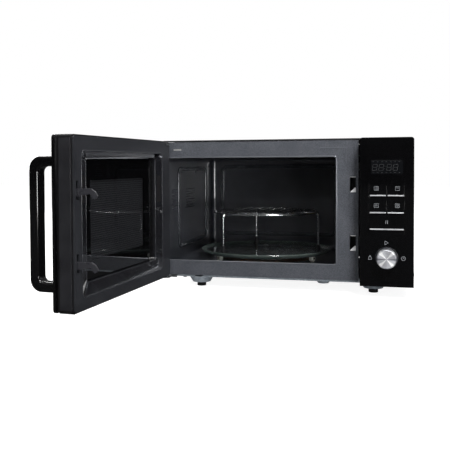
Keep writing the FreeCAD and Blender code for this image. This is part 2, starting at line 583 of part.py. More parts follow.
def glass_turntable():
    t = TRACK_Z
    dish = spun([(0, t), (GLASS_R - 12, t), (GLASS_R - 4, t + 2.5), (GLASS_R, t + 8), (GLASS_R - 1, t + 9.5),
                 (GLASS_R - 3, t + 9.3), (GLASS_R - 7, t + 6), (GLASS_R - 15, t + 4.5), (0, t + 4.5)],
                CAV_CX, CAV_CY)
    cleats = []
    for k in range(3):
        cleat = rod(4.0, (CAV_CX + 17, CAV_CY, t - 2.6), Z_AXIS, 3.0)
        cleat.rotate(V(CAV_CX, CAV_CY, 0), Z_AXIS, 90 + 120 * k)
        cleats.append(cleat)
    return fuse([dish] + cleats)


def spoke_point(radius, angle, z):
    a = math.radians(angle)
    return (CAV_CX + radius * math.cos(a), CAV_CY + radius * math.sin(a), z)


ROLLER_ANGLES = (-140.0, -20.0, 100.0)


def roller_ring():
    z = CAV_Z0 + ROLLER_R
    rim = spun([(ROLLER_PATH - 11, z - 3.5), (ROLLER_PATH - 7.5, z - 3.5), (ROLLER_PATH - 7.5, z + 3.5),
                (ROLLER_PATH - 11, z + 3.5)], CAV_CX, CAV_CY)
    hub = spun([(22, z - 2), (28, z - 2), (28, z + 2), (22, z + 2)], CAV_CX, CAV_CY)
    pieces = [rim, hub]
    for a in ROLLER_ANGLES:
        pieces.append(bar(spoke_point(26, a, z), spoke_point(ROLLER_PATH - 9, a, z), 2.4))
        pieces.append(bar(spoke_point(ROLLER_PATH - 8, a, z), spoke_point(ROLLER_PATH + 4.5, a, z), 2.0))
    return fuse(pieces)


def roller(angle):
    z = CAV_Z0 + ROLLER_R
    start = V(*spoke_point(ROLLER_PATH - 5, angle, z))
    end = V(*spoke_point(ROLLER_PATH + 3.5, angle, z))
    wheel = Part.makeCylinder(ROLLER_R, (end - start).Length, start, end - start)
    wheel = wheel.makeFillet(1.5, [e for e in wheel.Edges if isinstance(e.Curve, Part.Circle)])
    bore = bar(spoke_point(ROLLER_PATH - 7, angle, z), spoke_point(ROLLER_PATH + 6, angle, z), 2.08)
    return wheel.cut(bore)


LEG_ANGLES = [RACK_TURN + a for a in (0.0, 120.0, -120.0)]
LEG_R = 118.0
LEG_FOOT_Z = TRACK_Z + 4.5 + 0.3


def rack_leg(angle):
    """One bent leg in three lengths: the upright, the bend, and the run under the rack's ring."""
    knee, run = RACK_Z - LEG_BEND, LEG_R - LEG_BEND
    foot = spoke_point(LEG_R, angle, LEG_FOOT_Z + 2)
    upright = bar(foot, spoke_point(LEG_R, angle, knee), WIRE_R)
    across = bar(spoke_point(run, angle, RACK_Z), spoke_point(LEG_R - LEG_REACH, angle, RACK_Z), WIRE_R)
    centre = V(*spoke_point(run, angle, knee))
    side = V(math.sin(math.radians(angle)), -math.cos(math.radians(angle)), 0)
    elbow = Part.makeTorus(LEG_BEND, WIRE_R, centre, side)
    out = V(math.cos(math.radians(angle)), math.sin(math.radians(angle)), 0)
    quarter = Part.makeBox(20, 20, 20, V(0, -10, 0))
    quarter.Placement = FreeCAD.Placement(centre, FreeCAD.Rotation(out, Z_AXIS.cross(out), Z_AXIS, "XZY"))
    return [upright, elbow.common(quarter), across]


def rack_wire():
    """Round grill rack of welded wires: two rings and nine cross wires on three bent legs."""
    rings = [arc_tube(WIRE_R, r, CAV_CX, CAV_CY, RACK_Z) for r in (RACK_R - 2, LEG_R - LEG_REACH)]
    legs = [length for a in LEG_ANGLES for length in rack_leg(a)]
    pieces = [cut(ring, legs) for ring in rings] + legs
    turn, level = math.radians(RACK_TURN), RACK_Z + WIRE_R + CROSS_R + 0.02
    for k in range(-4, 5):
        off = 22.0 * k
        half = math.sqrt((RACK_R - 2) ** 2 - off ** 2)
        ends = [(CAV_CX + off * math.cos(turn) - s * math.sin(turn),
                 CAV_CY + off * math.sin(turn) + s * math.cos(turn), level) for s in (-half, half)]
        pieces.append(bar(ends[0], ends[1], CROSS_R))
    return group(pieces)


def rack_sleeves():
    sleeves = []
    for a in LEG_ANGLES:
        x, y, z = spoke_point(LEG_R, a, LEG_FOOT_Z)
        tube = rod(SLEEVE_R, (x, y, z), Z_AXIS, SLEEVE_H)
        sleeves.append(tube.cut(rod(WIRE_R + 0.02, (x, y, z + 1.9), Z_AXIS, SLEEVE_H)))
    return group(sleeves)


def waveguide_cover():
    return box(CAV_X1 - 1.0, CAV_X1 - 0.05, -34, 34, 152, 218)


# ---- works behind the right wall, above and below the cavity ---------------------------
def waveguide():
    x0 = CAV_X1 + SHEET + 0.1
    duct = box(x0, x0 + 40, -40, 110, 150, 220)
    inside = box(x0 - 1, x0 + 39, -39, 109, 151, 219)
    antenna_hole = rod(14.0, (x0 + 30, 76, 185), X_AXIS, 20)
    flange = box(x0, x0 + 1.2, -48, 118, 142, 228).cut(box(x0 - 1, x0 + 3, -39, 109, 151, 219))
    return cut(fuse([duct.cut(inside), flange]), [antenna_hole])


def magnetron():
    x0 = CAV_X1 + SHEET + 40.3
    yoke = box(x0, x0 + 58, 36, 116, 150, 220).cut(box(x0 + 2.5, x0 + 55.5, 35, 117, 153, 217))
    core = rod(17, (x0 + 1, 76, 185), X_AXIS, 56)
    fins = [box(x0 + 9 + 6.5 * i, x0 + 10 + 6.5 * i, 40, 112, 152, 218) for i in range(7)]
    antenna = rod(9, (x0 - 18, 76, 185), X_AXIS, 20)
    gasket = rod(13.5, (x0 - 3, 76, 185), X_AXIS, 4)
    cap = rod(15, (x0 + 56, 76, 185), X_AXIS, 12)
    return fuse([yoke, core, antenna, gasket, cap] + fins)


def transformer():
    x, y, z = 190.0, -75.0, BASE_Z + SHEET + 0.05
    core = box(x - 42, x + 42, y - 30, y + 30, z, z + 78)
    windows = [box(x + s * 21 - 7, x + s * 21 + 7, y - 40, y + 40, z + 16, z + 62) for s in (-1, 1)]
    coils = [slab(x - 27, x + 27, z + 17, z + 61, y - 46, y + 46, 8.0)]
    centre = box(x - 13, x + 13, y - 30, y + 30, z + 5, z + 70)
    feet = box(x - 46, x + 46, y - 34, y + 34, z, z + 2)
    return fuse([cut(core, windows), centre, feet] + coils)


def capacitor():
    z = BASE_Z + SHEET + 0.05
    can = slab(150, 202, z, z + 34, 20, 110, 14.0)
    tabs = [box(166 + 16 * i, 171 + 16 * i, 8, 21, z + 18, z + 19) for i in range(2)]
    strap = box(140, 150.5, 50, 70, z, z + 1.5)
    return fuse([can, strap] + tabs)


FAN_X, FAN_Z, FAN_Y = 173.0, 175.0, 150.0


def fan_motor():
    ring = rod(53, (FAN_X, FAN_Y - 12, FAN_Z), Y_AXIS, 24).cut(
        rod(50, (FAN_X, FAN_Y - 13, FAN_Z), Y_AXIS, 26))
    plate = slab(FAN_X - 60, FAN_X + 60, FAN_Z - 60, FAN_Z + 60, FAN_Y + 12, FAN_Y + 13.5, 6)
    plate = plate.cut(rod(50, (FAN_X, FAN_Y, FAN_Z), Y_AXIS, 20))
    spokes = [box(FAN_X - 51, FAN_X + 51, FAN_Y + 12, FAN_Y + 15, FAN_Z - 4, FAN_Z + 4),
              box(FAN_X - 4, FAN_X + 4, FAN_Y + 12, FAN_Y + 15, FAN_Z - 51, FAN_Z + 51)]
    can = rod(20, (FAN_X, FAN_Y + 12, FAN_Z), Y_AXIS, 20)
    shaft = rod(2.5, (FAN_X, FAN_Y - 10, FAN_Z), Y_AXIS, 24)
    return fuse([ring, plate, can, shaft] + spokes)


def fan_blade():
    hub = rod(11, (FAN_X, FAN_Y - 8, FAN_Z), Y_AXIS, 16)
    blades = []
    for k in range(5):
        blade = box(FAN_X + 8, FAN_X + 46, FAN_Y - 0.9, FAN_Y + 0.9, FAN_Z - 12, FAN_Z + 12)
        blade.rotate(V(FAN_X, FAN_Y, FAN_Z), X_AXIS, 28)
        blade.rotate(V(FAN_X, FAN_Y, FAN_Z), Y_AXIS, 72 * k)
        blades.append(blade)
    return fuse([hub] + blades).cut(rod(2.58, (FAN_X, FAN_Y - 11, FAN_Z), Y_AXIS, 22))


def air_duct():
    x0, x1, z0, z1 = FAN_X - 24, FAN_X + 58, 146.0, 224.0
    outer = box(x0, x1, 119, FAN_Y - 12.2, z0, z1)
    return outer.cut(box(x0 + 1.2, x1 - 1.2, 118, FAN_Y, z0 + 1.2, z1 - 1.2))


def interlock_frame():
    """Latch housing: two cheeks joined by blocks above, between and below the hook pockets."""
    x0, x1, y0, y1 = 122.0, 144.0, FACE_Y + PLATE_T + 0.1, -142.0
    px0, px1 = SLOT_X0 - 0.5, SLOT_X1 + 0.5
    (top0, top1), (low0, low1) = SLOT_Z
    pieces = [box(x0, px0, y0, y1, 70, 232), box(px1, x1, y0, y1, 70, 232)]
    pieces += [box(px0, px1, y0, y1, z0, z1) for z0, z1 in (
        (70, low0 - 1), (low1 + 3, top0 - 1), (top1 + 3, 232))]
    for z0, z1 in SLOT_Z:
        pieces.append(box(px0, px1, y1 - 3, y1, z0 - 1, z1 + 3))
        wire = Part.makePolygon([V(px0, y, z) for y, z in (
            (y0, z0 - 1), (y0, z0 - 0.4), (y0 + 6, z0 + 1.2), (y0 + 14, z0 + 1.2), (y0 + 14, z0 - 1),
            (y0, z0 - 1))])
        pieces.append(Part.Face(wire).extrude(V(px1 - px0, 0, 0)))
    return group(pieces)


def door_switches():
    pieces = []
    for z in (88, 130, 200):
        case = box(144.2, 154.2, -172, -150, z, z + 18)
        tabs = [box(147, 151, -168 + 7 * i, -166.5 + 7 * i, z + 17, z + 24) for i in range(3)]
        pieces.append(fuse([case] + tabs))
    return group(pieces)


def grill_heater():
    z, r, y0, y1 = 268.0, 3.2, -90.0, -10.0
    x0, x1 = CAV_CX - 78, CAV_CX + 78
    legs = [bar((x0, y, z), (x1, y, z), r) for y in (y0, y0 + 40, y1)]
    turns = []
    for x, y, side in ((x1, y0 + 20, 1), (x0, y1 - 20, -1)):
        loop = Part.makeTorus(20, r, V(x, y, z))
        keep = box(x, x + 30, y - 30, y + 30, z - 9, z + 9) if side > 0 else box(
            x - 30, x, y - 30, y + 30, z - 9, z + 9)
        turns.append(loop.common(keep))
    tails = [bar((x0, y0, z), (x0 - 14, y0, z), r), bar((x1, y1, z), (x1 + 14, y1, z), r)]
    return fuse(legs + turns + tails)


def grill_reflector():
    x0, x1, y0, y1, z0 = CAV_CX - 112, CAV_CX + 112, -122.0, 22.0, CAV_Z1 + SHEET + 0.05
    tray = box(x0, x1, y0, y1, z0, z0 + 18).cut(box(x0 + 1, x1 - 1, y0 + 1, y1 - 1, z0 - 1, z0 + 17))
    flange = box(x0 - 9, x1 + 9, y0 - 9, y1 + 9, z0, z0 + 1).cut(box(x0, x1, y0, y1, z0 - 1, z0 + 2))
    return fuse([tray, flange])


def cavity_lamp():
    x0 = CAV_X1 + SHEET + 0.1
    holder = box(x0, x0 + 8, 114, 136, 229, 251)
    bulb = rod(7.0, (x0 + 7.5, 125, 240), X_AXIS, 24)
    cap = rod(9.0, (x0 + 28, 125, 240), X_AXIS, 9)
    return fuse([holder, bulb, cap])


def filter_board():
    x0, x1, y0, y1, z = 112.0, 222.0, -20.0, 60.0, 262.0
    board = box(x0, x1, y0, y1, z, z + 1.6)
    legs = [rod(2.5, (x, y, z - 12), Z_AXIS, 13) for x in (118, 216) for y in (-14, 54)]
    coil = rod(11, (150, 20, z + 1), Z_AXIS, 14).cut(rod(5, (150, 20, z + 2), Z_AXIS, 20))
    fuse_tube = rod(3, (175, -5, z + 5), X_AXIS, 26)
    clips = [box(175 + 20 * i, 179 + 20 * i, -8, -2, z + 1, z + 6) for i in range(2)]
    return fuse([board, coil, fuse_tube] + legs + clips)


def turntable_motor():
    body = rod(25, (CAV_CX, CAV_CY, BASE_Z + SHEET + 1.0), Z_AXIS, 14.0)
    ears = box(CAV_CX - 33, CAV_CX + 33, CAV_CY - 6, CAV_CY + 6, CAV_Z0 - SHEET - 2.0,
               CAV_Z0 - SHEET - 0.1)
    return fuse([body, ears, rod(4.0, (CAV_CX, CAV_CY, CAV_Z0 - 5), Z_AXIS, 3.0)])


def cord_gland():
    y = REAR_Y - 1.0
    return spun_y([(4.0, y + 5), (4.0, y - 9), (8.0, y - 9), (8.0, y - 5), (8.0, y + 0.05), (11.0, y + 0.05),
                   (11.0, y + 3), (8.5, y + 5)], 205, 60)


def case_screws():
    screws = [screw_y(x, REAR_Y - 0.95, z, 3.5, 4.5, -1) for x, z in REAR_SCREWS]
    for side in (-1, 1):
        start = (side * (CASE_X + 0.05), SIDE_SCREW_Y, SIDE_SCREW_Z)
        screws.append(fuse([rod(3.8, start, V(side, 0, 0), 2.0), rod(1.6, start, V(-side, 0, 0), 3.0)]))
    return group(screws)


def base_screws():
    spots = [(-200, -168), (200, -168), (-200, 178), (200, 178)]
    return group([fuse([rod(3.5, (x, y, BASE_Z - 0.05), V(0, 0, -1), 1.8),
                        rod(1.6, (x, y, BASE_Z - 0.05), Z_AXIS, 0.04)]) for x, y in spots])


# ---- write every node -------------------------------------------------------------------
BODY = [outer_case, base_plate, rear_panel, front_plate, cavity, rubber_feet, plate_plug, hinge_lower,
        hinge_upper, hinge_screws, control_housing, control_glass, key_carrier, control_board,
        display_module, dial_ring, dial_encoder, dial_shaft, dial_knob, dial_cap, drive_coupler,
        glass_turntable, roller_ring, rack_wire, rack_sleeves, waveguide_cover, waveguide, magnetron,
        transformer, capacitor, fan_motor, fan_blade, air_duct, interlock_frame, door_switches,
        grill_heater, grill_reflector, cavity_lamp, filter_board, turntable_motor, cord_gland,
        case_screws, base_screws]
DOOR = [door_frame, door_glass, door_mesh, door_inner_frame, door_inner_pane, door_latch,
        latch_spring, handle, handle_screws]

for make in BODY:
    PARTS[make.__name__] = make()
for make in DOOR:
    PARTS[make.__name__] = open_door(make())
for key, sides in KEYS.items():
    PARTS[key] = key_cap(*sides)
for number, angle in enumerate(ROLLER_ANGLES, 1):
    PARTS[f"roller_{number}"] = roller(angle)

os.makedirs("parts", exist_ok=True)
for name, shape in PARTS.items():
    shape.exportStep(f"parts/{name}.step")
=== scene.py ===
import bpy
import bmesh
import json
import math
from mathutils import Matrix, Vector


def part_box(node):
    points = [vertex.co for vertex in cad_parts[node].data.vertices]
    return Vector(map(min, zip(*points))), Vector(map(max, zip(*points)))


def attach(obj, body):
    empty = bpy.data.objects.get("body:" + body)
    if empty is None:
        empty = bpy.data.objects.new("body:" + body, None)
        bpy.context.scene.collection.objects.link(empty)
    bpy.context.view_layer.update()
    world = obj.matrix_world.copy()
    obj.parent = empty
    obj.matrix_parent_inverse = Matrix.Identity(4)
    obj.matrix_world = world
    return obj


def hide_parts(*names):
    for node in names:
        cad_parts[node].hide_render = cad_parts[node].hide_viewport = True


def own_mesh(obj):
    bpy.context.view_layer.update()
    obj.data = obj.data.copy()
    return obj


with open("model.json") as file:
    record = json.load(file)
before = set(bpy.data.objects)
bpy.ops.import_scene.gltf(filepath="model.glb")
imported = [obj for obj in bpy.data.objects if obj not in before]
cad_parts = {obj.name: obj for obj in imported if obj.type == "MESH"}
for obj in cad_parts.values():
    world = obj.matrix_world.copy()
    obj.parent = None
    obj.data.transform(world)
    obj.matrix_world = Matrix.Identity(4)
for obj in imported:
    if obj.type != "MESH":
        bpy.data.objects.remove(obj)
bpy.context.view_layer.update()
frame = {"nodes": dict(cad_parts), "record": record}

RECORD = frame["record"]
MM = 0.001
WELD = 2e-6      # points this close are one
HAIR = 1e-7      # places this close are level

# ---- places read from the frame ----
JOINTS = {j["name"]: j for j in RECORD["behaviour"]["joints"]}
HINGE = Vector(JOINTS["door_hinge"]["pos_m"])
DOOR_TURN = math.radians(JOINTS["door_hinge"]["range_deg"][0])   # shut to open, seen from above
BODY_OF = {n: b for b, nodes in RECORD["behaviour"]["bodies"].items() for n in nodes}

PANEL_LO, PANEL_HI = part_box("control_glass")
PLATE_LO, PLATE_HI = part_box("front_plate")
CAVITY_LO, CAVITY_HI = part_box("cavity")
DISH_LO, DISH_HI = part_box("glass_turntable")
KNOB_LO, KNOB_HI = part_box("dial_knob")
DISPLAY_LO, DISPLAY_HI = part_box("display_module")
FACE_Y = PLATE_HI.y - 1.5 * MM      # front surface of the front plate


# ---- selecting, placing, finishing ----
def pick(*objs):
    """Only these objects are selected; the first is active."""
    bpy.ops.object.select_all(action="DESELECT")
    for o in objs:
        o.select_set(True)
    bpy.context.view_layer.objects.active = objs[0]


def settle(obj):
    """The piece's place goes into its mesh, so the object sits at the origin."""
    pick(obj)
    bpy.ops.object.transform_apply(location=True, rotation=True, scale=True)


def apply_modifier(obj, kind, **settings):
    """Adds one modifier with its settings and applies it."""
    pick(obj)
    mod = obj.modifiers.new(kind.title(), kind)
    for key, value in settings.items():
        setattr(mod, key, value)
    bpy.ops.object.modifier_apply(modifier=mod.name)


def mode(name):
    """Turns to EDIT or OBJECT mode."""
    bpy.ops.object.mode_set(mode=name)


def ease(obj, width, segments=2, degrees=50):
    """Rounds every edge that turns by more than the angle."""
    apply_modifier(obj, "BEVEL", width=width, segments=segments, limit_method="ANGLE",
                   angle_limit=math.radians(degrees))


def repeat(obj, *runs):
    """Repeats the piece along each (step, count) in turn."""
    for step, count in runs:
        apply_modifier(obj, "ARRAY", count=count, use_relative_offset=False, use_constant_offset=True,
                       constant_offset_displace=step)


def smooth(obj, degrees=40):
    """Curves read as curves, and the broad flats between them stay flat."""
    pick(obj)
    bpy.ops.object.shade_smooth_by_angle(angle=math.radians(degrees))
    apply_modifier(obj, "WEIGHTED_NORMAL", keep_sharp=True, weight=60)


def select_faces(obj, test):
    """In edit mode, selects the faces whose centre and normal pass the test."""
    mesh = bmesh.from_edit_mesh(obj.data)
    bpy.ops.mesh.select_all(action="DESELECT")
    for face in mesh.faces:
        face.select_set(test(face.calc_center_median(), face.normal))
    mesh.select_flush(True)
    bmesh.update_edit_mesh(obj.data)


def select_edges(obj, test):
    """In edit mode, selects the edges whose two ends pass the test."""
    mesh = bmesh.from_edit_mesh(obj.data)
    bpy.ops.mesh.select_all(action="DESELECT")
    for edge in mesh.edges:
        edge.select_set(test(edge.verts[0].co, edge.verts[1].co))
    bmesh.update_edit_mesh(obj.data)


def finish(obj, name, body, material):
    """Names the piece, gives it its finish and hangs it on its body."""
    settle(obj)
    obj.name = name
    obj.data.name = name
    obj.data.materials.clear()
    obj.data.materials.append(material)
    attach(obj, body)
    return obj


def block(lo, hi, corner=0.0, edge=0.0, corner_steps=6, edge_steps=2):
    """Rounded block: corners rounded as seen from the front, then the front rim eased."""
    lo, hi = Vector(lo), Vector(hi)
    bpy.ops.mesh.primitive_cube_add(size=1, location=(lo + hi) / 2)
    obj = bpy.context.object
    obj.scale = hi - lo
    settle(obj)
    mode("EDIT")
    if corner:
        select_edges(obj, lambda a, b: abs(a.x - b.x) < HAIR and abs(a.z - b.z) < HAIR)
        bpy.ops.mesh.bevel(offset=corner, segments=corner_steps, affect="EDGES")
    if edge:
        select_edges(obj, lambda a, b: abs(a.y - lo.y) < HAIR and abs(b.y - lo.y) < HAIR)
        bpy.ops.mesh.bevel(offset=edge, segments=edge_steps, affect="EDGES")
    mode("OBJECT")
    smooth(obj)
    return obj


def lathe(profile, centre, axis="Z", steps=96):
    """Turned piece: a closed outline of (radius, height) spun about its axis."""
    mesh = bpy.data.meshes.new("turned")
    points = [(r, 0, h) for r, h in profile]
    mesh.from_pydata(points, [(i, (i + 1) % len(points)) for i in range(len(points))], [])
    obj = bpy.data.objects.new("turned", mesh)
    bpy.context.collection.objects.link(obj)
    pick(obj)
    mode("EDIT")
    bpy.ops.mesh.select_all(action="SELECT")
    bpy.ops.mesh.spin(steps=steps, angle=2 * math.pi, center=(0, 0, 0), axis=(0, 0, 1))
    bpy.ops.mesh.select_all(action="SELECT")
    bpy.ops.mesh.remove_doubles(threshold=WELD)
    bpy.ops.mesh.normals_make_consistent(inside=False)
    mode("OBJECT")
    if axis == "Y":
        obj.rotation_euler = (math.pi / 2, 0, 0)
    obj.location = centre
    settle(obj)
    smooth(obj, 35)
    return obj


def joined(pieces):
    """One piece made of several."""
    pick(*pieces)
    bpy.ops.object.join()
    return bpy.context.object


def carve(obj, cutters):
    """Cuts every cutter out of the piece."""
    tool = joined(cutters)
    apply_modifier(obj, "BOOLEAN", operation="DIFFERENCE", solver="EXACT", object=tool)
    bpy.data.objects.remove(tool, do_unlink=True)


def hollow_frame(lo, hi, wall, corner, edge=0.0):
    """Rounded frame with an open middle, lying in X and Z; its front rims are eased."""
    obj = block(lo, hi, corner=corner)
    inset = Vector((wall, 0, wall))
    deep = Vector((0, 1 * MM, 0))
    carve(obj, [block(Vector(lo) + inset - deep, Vector(hi) - inset + deep,
                      corner=max(corner - wall, 0.5 * MM))])
    if edge:
        ease(obj, edge, 3)
    smooth(obj)
    return obj


def drill_field(start, axis, radius, *runs, depth=6 * MM, sides=12):
    """A cutter for a field of round holes, along each (step, count) from its first hole."""
    turn = {"X": (0, math.pi / 2, 0), "Y": (math.pi / 2, 0, 0), "Z": (0, 0, 0)}[axis]
    bpy.ops.mesh.primitive_cylinder_add(vertices=sides, radius=radius, depth=depth, location=start,
                                        rotation=turn)
    rod = bpy.context.object
    settle(rod)
    repeat(rod, *runs)
    return rod


def rim_field(start, *runs):
    """The rolled lips of a field of holes pressed through the ceiling."""
    bpy.ops.mesh.primitive_torus_add(location=start, major_radius=3.1 * MM, minor_radius=0.45 * MM,
                                     major_segments=16, minor_segments=6)
    lip = bpy.context.object
    settle(lip)
    repeat(lip, *runs)
    return lip


def swing(obj):
    """Carries a piece built on the shut door to where the open door stands."""
    about = Matrix.Translation(HINGE) @ Matrix.Rotation(DOOR_TURN, 4, "Z") @ Matrix.Translation(-HINGE)
    obj.matrix_world = about @ obj.matrix_world
    settle(obj)
    return obj


def dressed(node, material, edge=0.0, angle=40, steps=2):
    """A CAD piece with its own shape, its edges eased and its curves smooth."""
    source = frame["nodes"][node]
    obj = source.copy()
    obj.data = source.data.copy()
    obj.parent = None
    obj.matrix_world = source.matrix_world.copy()
    bpy.context.collection.objects.link(obj)
    pick(obj)
    mode("EDIT")
    bpy.ops.mesh.select_all(action="SELECT")
    if obj.data.has_custom_normals:
        bpy.ops.mesh.customdata_custom_splitnormals_clear()
    bpy.ops.mesh.remove_doubles(threshold=WELD)
    bpy.ops.mesh.dissolve_limited(angle_limit=math.radians(0.4))
    mode("OBJECT")
    if edge:
        ease(obj, edge, steps, angle)
    smooth(obj, angle)
    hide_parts(node)
    return finish(obj, node + "_skin", BODY_OF[node], material)


# ---- finishes ----
def linear(code):
    """sRGB hex to the linear colour that shaders read."""
    channels = [int(code[i:i + 2], 16) / 255 for i in (1, 3, 5)]
    return tuple(c / 12.92 if c <= 0.04045 else ((c + 0.055) / 1.055) ** 2.4
                 for c in channels) + (1.0,)


def add(mat, kind, settings=None, links=None):
    """Adds one shader node to a material, with its settings and the links into it."""
    node = mat.node_tree.nodes.new("ShaderNode" + kind)
    for key, value in (settings or {}).items():
        if isinstance(key, int) or key in node.inputs:
            node.inputs[key].default_value = value
        else:
            setattr(node, key, value)
    for key, source in (links or {}).items():
        mat.node_tree.links.new(source, node.inputs[key])
    return node


MULTIPLIED = {"data_type": "RGBA", "blend_type": "MULTIPLY", 0: 1.0}


def feed(mat, shader, socket, output):
    """Links one output to a socket of the shader."""
    mat.node_tree.links.new(output, shader.inputs[socket])


def blank(name, **settings):
    """A new material, its shader set to one substance's values, and its Object coordinates."""
    mat = bpy.data.materials.new(name)
    mat.use_nodes = True
    shader = mat.node_tree.nodes["Principled BSDF"]
    for key, value in settings.items():
        shader.inputs[key.replace("_", " ")].default_value = value
    return mat, shader, add(mat, "TexCoord").outputs["Object"]


def set_ends(ramp, *ends):
    """Sets the two ends of a colour ramp, each (position, linear colour)."""
    for end, (position, colour) in zip(ramp.color_ramp.elements, ends):
        end.position, end.color = position, colour


def mottle(mat, vector, size_mm, dark, light, detail=3.0):
    """Cloudy drift between two colours; size_mm is the width of a cloud."""
    cloud = add(mat, "TexNoise", {"Scale": 1000 / size_mm, "Detail": detail}, {"Vector": vector})
    ramp = add(mat, "ValToRGB", links={"Fac": cloud.outputs["Fac"]})
    set_ends(ramp, (0.35, linear(dark)), (0.65, linear(light)))
    return ramp.outputs["Color"], cloud.outputs["Fac"]


def coated(name, dark, light, cloud_mm, grain_mm, grain_depth, rough, metallic=0.0, spread=0.06,
           detail=3.0, **settings):
    """A solid surface: colour drift, roughness drift and a fine grain of real size."""
    mat, shader, place = blank(name, Metallic=metallic, Roughness=rough, **settings)
    colour, cloud = mottle(mat, place, cloud_mm, dark, light, detail=detail)
    feed(mat, shader, "Base Color", colour)
    wear = add(mat, "MapRange", {"To Min": max(rough - spread, 0.02), "To Max": rough + spread},
               {"Value": cloud})
    feed(mat, shader, "Roughness", wear.outputs["Result"])
    grain = add(mat, "TexNoise", {"Scale": 1000 / grain_mm, "Detail": 2.0}, {"Vector": place})
    bump = add(mat, "Bump", {"Strength": 1.0, "Distance": grain_depth * MM},
               {"Height": grain.outputs["Fac"]})
    feed(mat, shader, "Normal", bump.outputs["Normal"])
    return mat


def speckled_enamel():
    """Gunmetal stoving enamel: semi-gloss grey with fine pale and dark specks."""
    mat, shader, place = blank("gunmetal_stoving_enamel", Metallic=0.25, Roughness=0.36, IOR=1.5,
                        Coat_Weight=0.35, Coat_Roughness=0.16)
    ground = mottle(mat, place, 45.0, "#585b62", "#62656c")[0]
    # specks are about 0.3 mm in life; drawn near 1 mm so they show
    specks = add(mat, "TexNoise", {"Scale": 1000 / 1.3, "Detail": 2.0, "Roughness": 0.7},
                 {"Vector": place})
    tone = add(mat, "ValToRGB", links={"Fac": specks.outputs["Fac"]})
    set_ends(tone, (0.36, (0.5, 0.5, 0.5, 1)), (0.66, (1.0, 1.0, 1.0, 1)))
    tone.color_ramp.elements.new(0.5).color = (0.76, 0.76, 0.77, 1)
    mixed = add(mat, "Mix", MULTIPLIED,
                {6: ground, 7: tone.outputs["Color"]})
    feed(mat, shader, "Base Color", mixed.outputs[2])
    peel = add(mat, "Bump", {"Strength": 0.5, "Distance": 0.03 * MM}, {"Height": specks.outputs["Fac"]})
    feed(mat, shader, "Normal", peel.outputs["Normal"])
    return mat


def zinc_sheet():
    """Hot-dip galvanised sheet: bluish grey with dull spangle plates about 7 mm across."""
    mat, shader, place = blank("galvanised_sheet", Metallic=0.35, Roughness=0.42)
    spangle = add(mat, "TexVoronoi", {"Scale": 1000 / 7.0}, {"Vector": place})
    grey = add(mat, "RGBToBW", links={"Color": spangle.outputs["Color"]})
    ramp = add(mat, "ValToRGB", links={"Fac": grey.outputs["Val"]})
    set_ends(ramp, (0.0, linear("#9aa3ad")), (1.0, linear("#bcc4cc")))
    feed(mat, shader, "Base Color", ramp.outputs["Color"])
    rough = add(mat, "MapRange", {"To Min": 0.34, "To Max": 0.5}, {"Value": grey.outputs["Val"]})
    feed(mat, shader, "Roughness", rough.outputs["Result"])
    return mat


def spun_aluminium():
    """Spun and lacquered aluminium: ring marks 0.4 mm apart, drawn at 0.8, spread the lamps' light
    anisotropically; the bright wedges on the diagonals and the dark lines at the sides are painted highlights
    and painted shade in its colour, and turn with the dial, not with the lamps.
    """
    mat, shader, place = blank("spun_aluminium", Metallic=0.6, Roughness=0.38, Anisotropic=0.8)
    ring = add(mat, "Tangent", {"direction_type": "RADIAL", "axis": "Y"})
    feed(mat, shader, "Tangent", ring.outputs["Tangent"])
    centre = (KNOB_LO + KNOB_HI) / 2
    moved = add(mat, "Mapping", {"Location": (-centre.x, 0, -centre.z), "Scale": (1, 0, 1)},
                {"Vector": place})
    rings = add(mat, "TexWave", {"wave_type": "RINGS", "rings_direction": "Y",
                                 "Scale": 0.31416 / (0.8 * MM), "Distortion": 0.6, "Detail": 1.0},
                {"Vector": moved.outputs["Vector"]})
    bump = add(mat, "Bump", {"Strength": 0.35, "Distance": 0.02 * MM}, {"Height": rings.outputs["Fac"]})
    feed(mat, shader, "Normal", bump.outputs["Normal"])
    parts = add(mat, "SeparateXYZ", links={"Vector": moved.outputs["Vector"]})
    angle = add(mat, "Math", {"operation": "ARCTAN2"}, {0: parts.outputs["Z"], 1: parts.outputs["X"]})
    # painted highlights and painted shade: white wedges on the four diagonals and darker lines to left and
    # right, drawn into the base colour
    base = None
    for turns, low, high, shade in ((4, -0.95, -0.45, "#b9babf"), (2, 0.94, 1.0, "#9a9ba1")):
        painted_light_lobes = add(mat, "Math", {"operation": "MULTIPLY", 1: float(turns)}, {0: angle.outputs[0]})
        wave = add(mat, "Math", {"operation": "COSINE"}, {0: painted_light_lobes.outputs[0]})
        painted_light_share = add(mat, "MapRange", {"From Min": low, "From Max": high}, {"Value": wave.outputs[0]})
        tone = add(mat, "Mix", {"data_type": "RGBA", 6: linear("#ffffff"), 7: linear(shade)},
                   {0: painted_light_share.outputs["Result"]})
        if base:
            tone = add(mat, "Mix", MULTIPLIED,
                       {6: base.outputs[2], 7: tone.outputs[2]})
        base = tone
    feed(mat, shader, "Base Color", base.outputs[2])
    return mat


def clear_dish_glass():
    """Tempered soda-lime glass: clear, faintly green, with soft moulding waves."""
    mat, shader, place = blank("tempered_dish_glass", Roughness=0.02, IOR=1.5, Transmission_Weight=0.98)
    shader.inputs["Base Color"].default_value = linear("#e4efec")
    wave = add(mat, "TexNoise", {"Scale": 1000 / 12.0}, {"Vector": place})
    bump = add(mat, "Bump", {"Strength": 0.5, "Distance": 0.25 * MM}, {"Height": wave.outputs["Fac"]})
    feed(mat, shader, "Normal", bump.outputs["Normal"])
    return mat


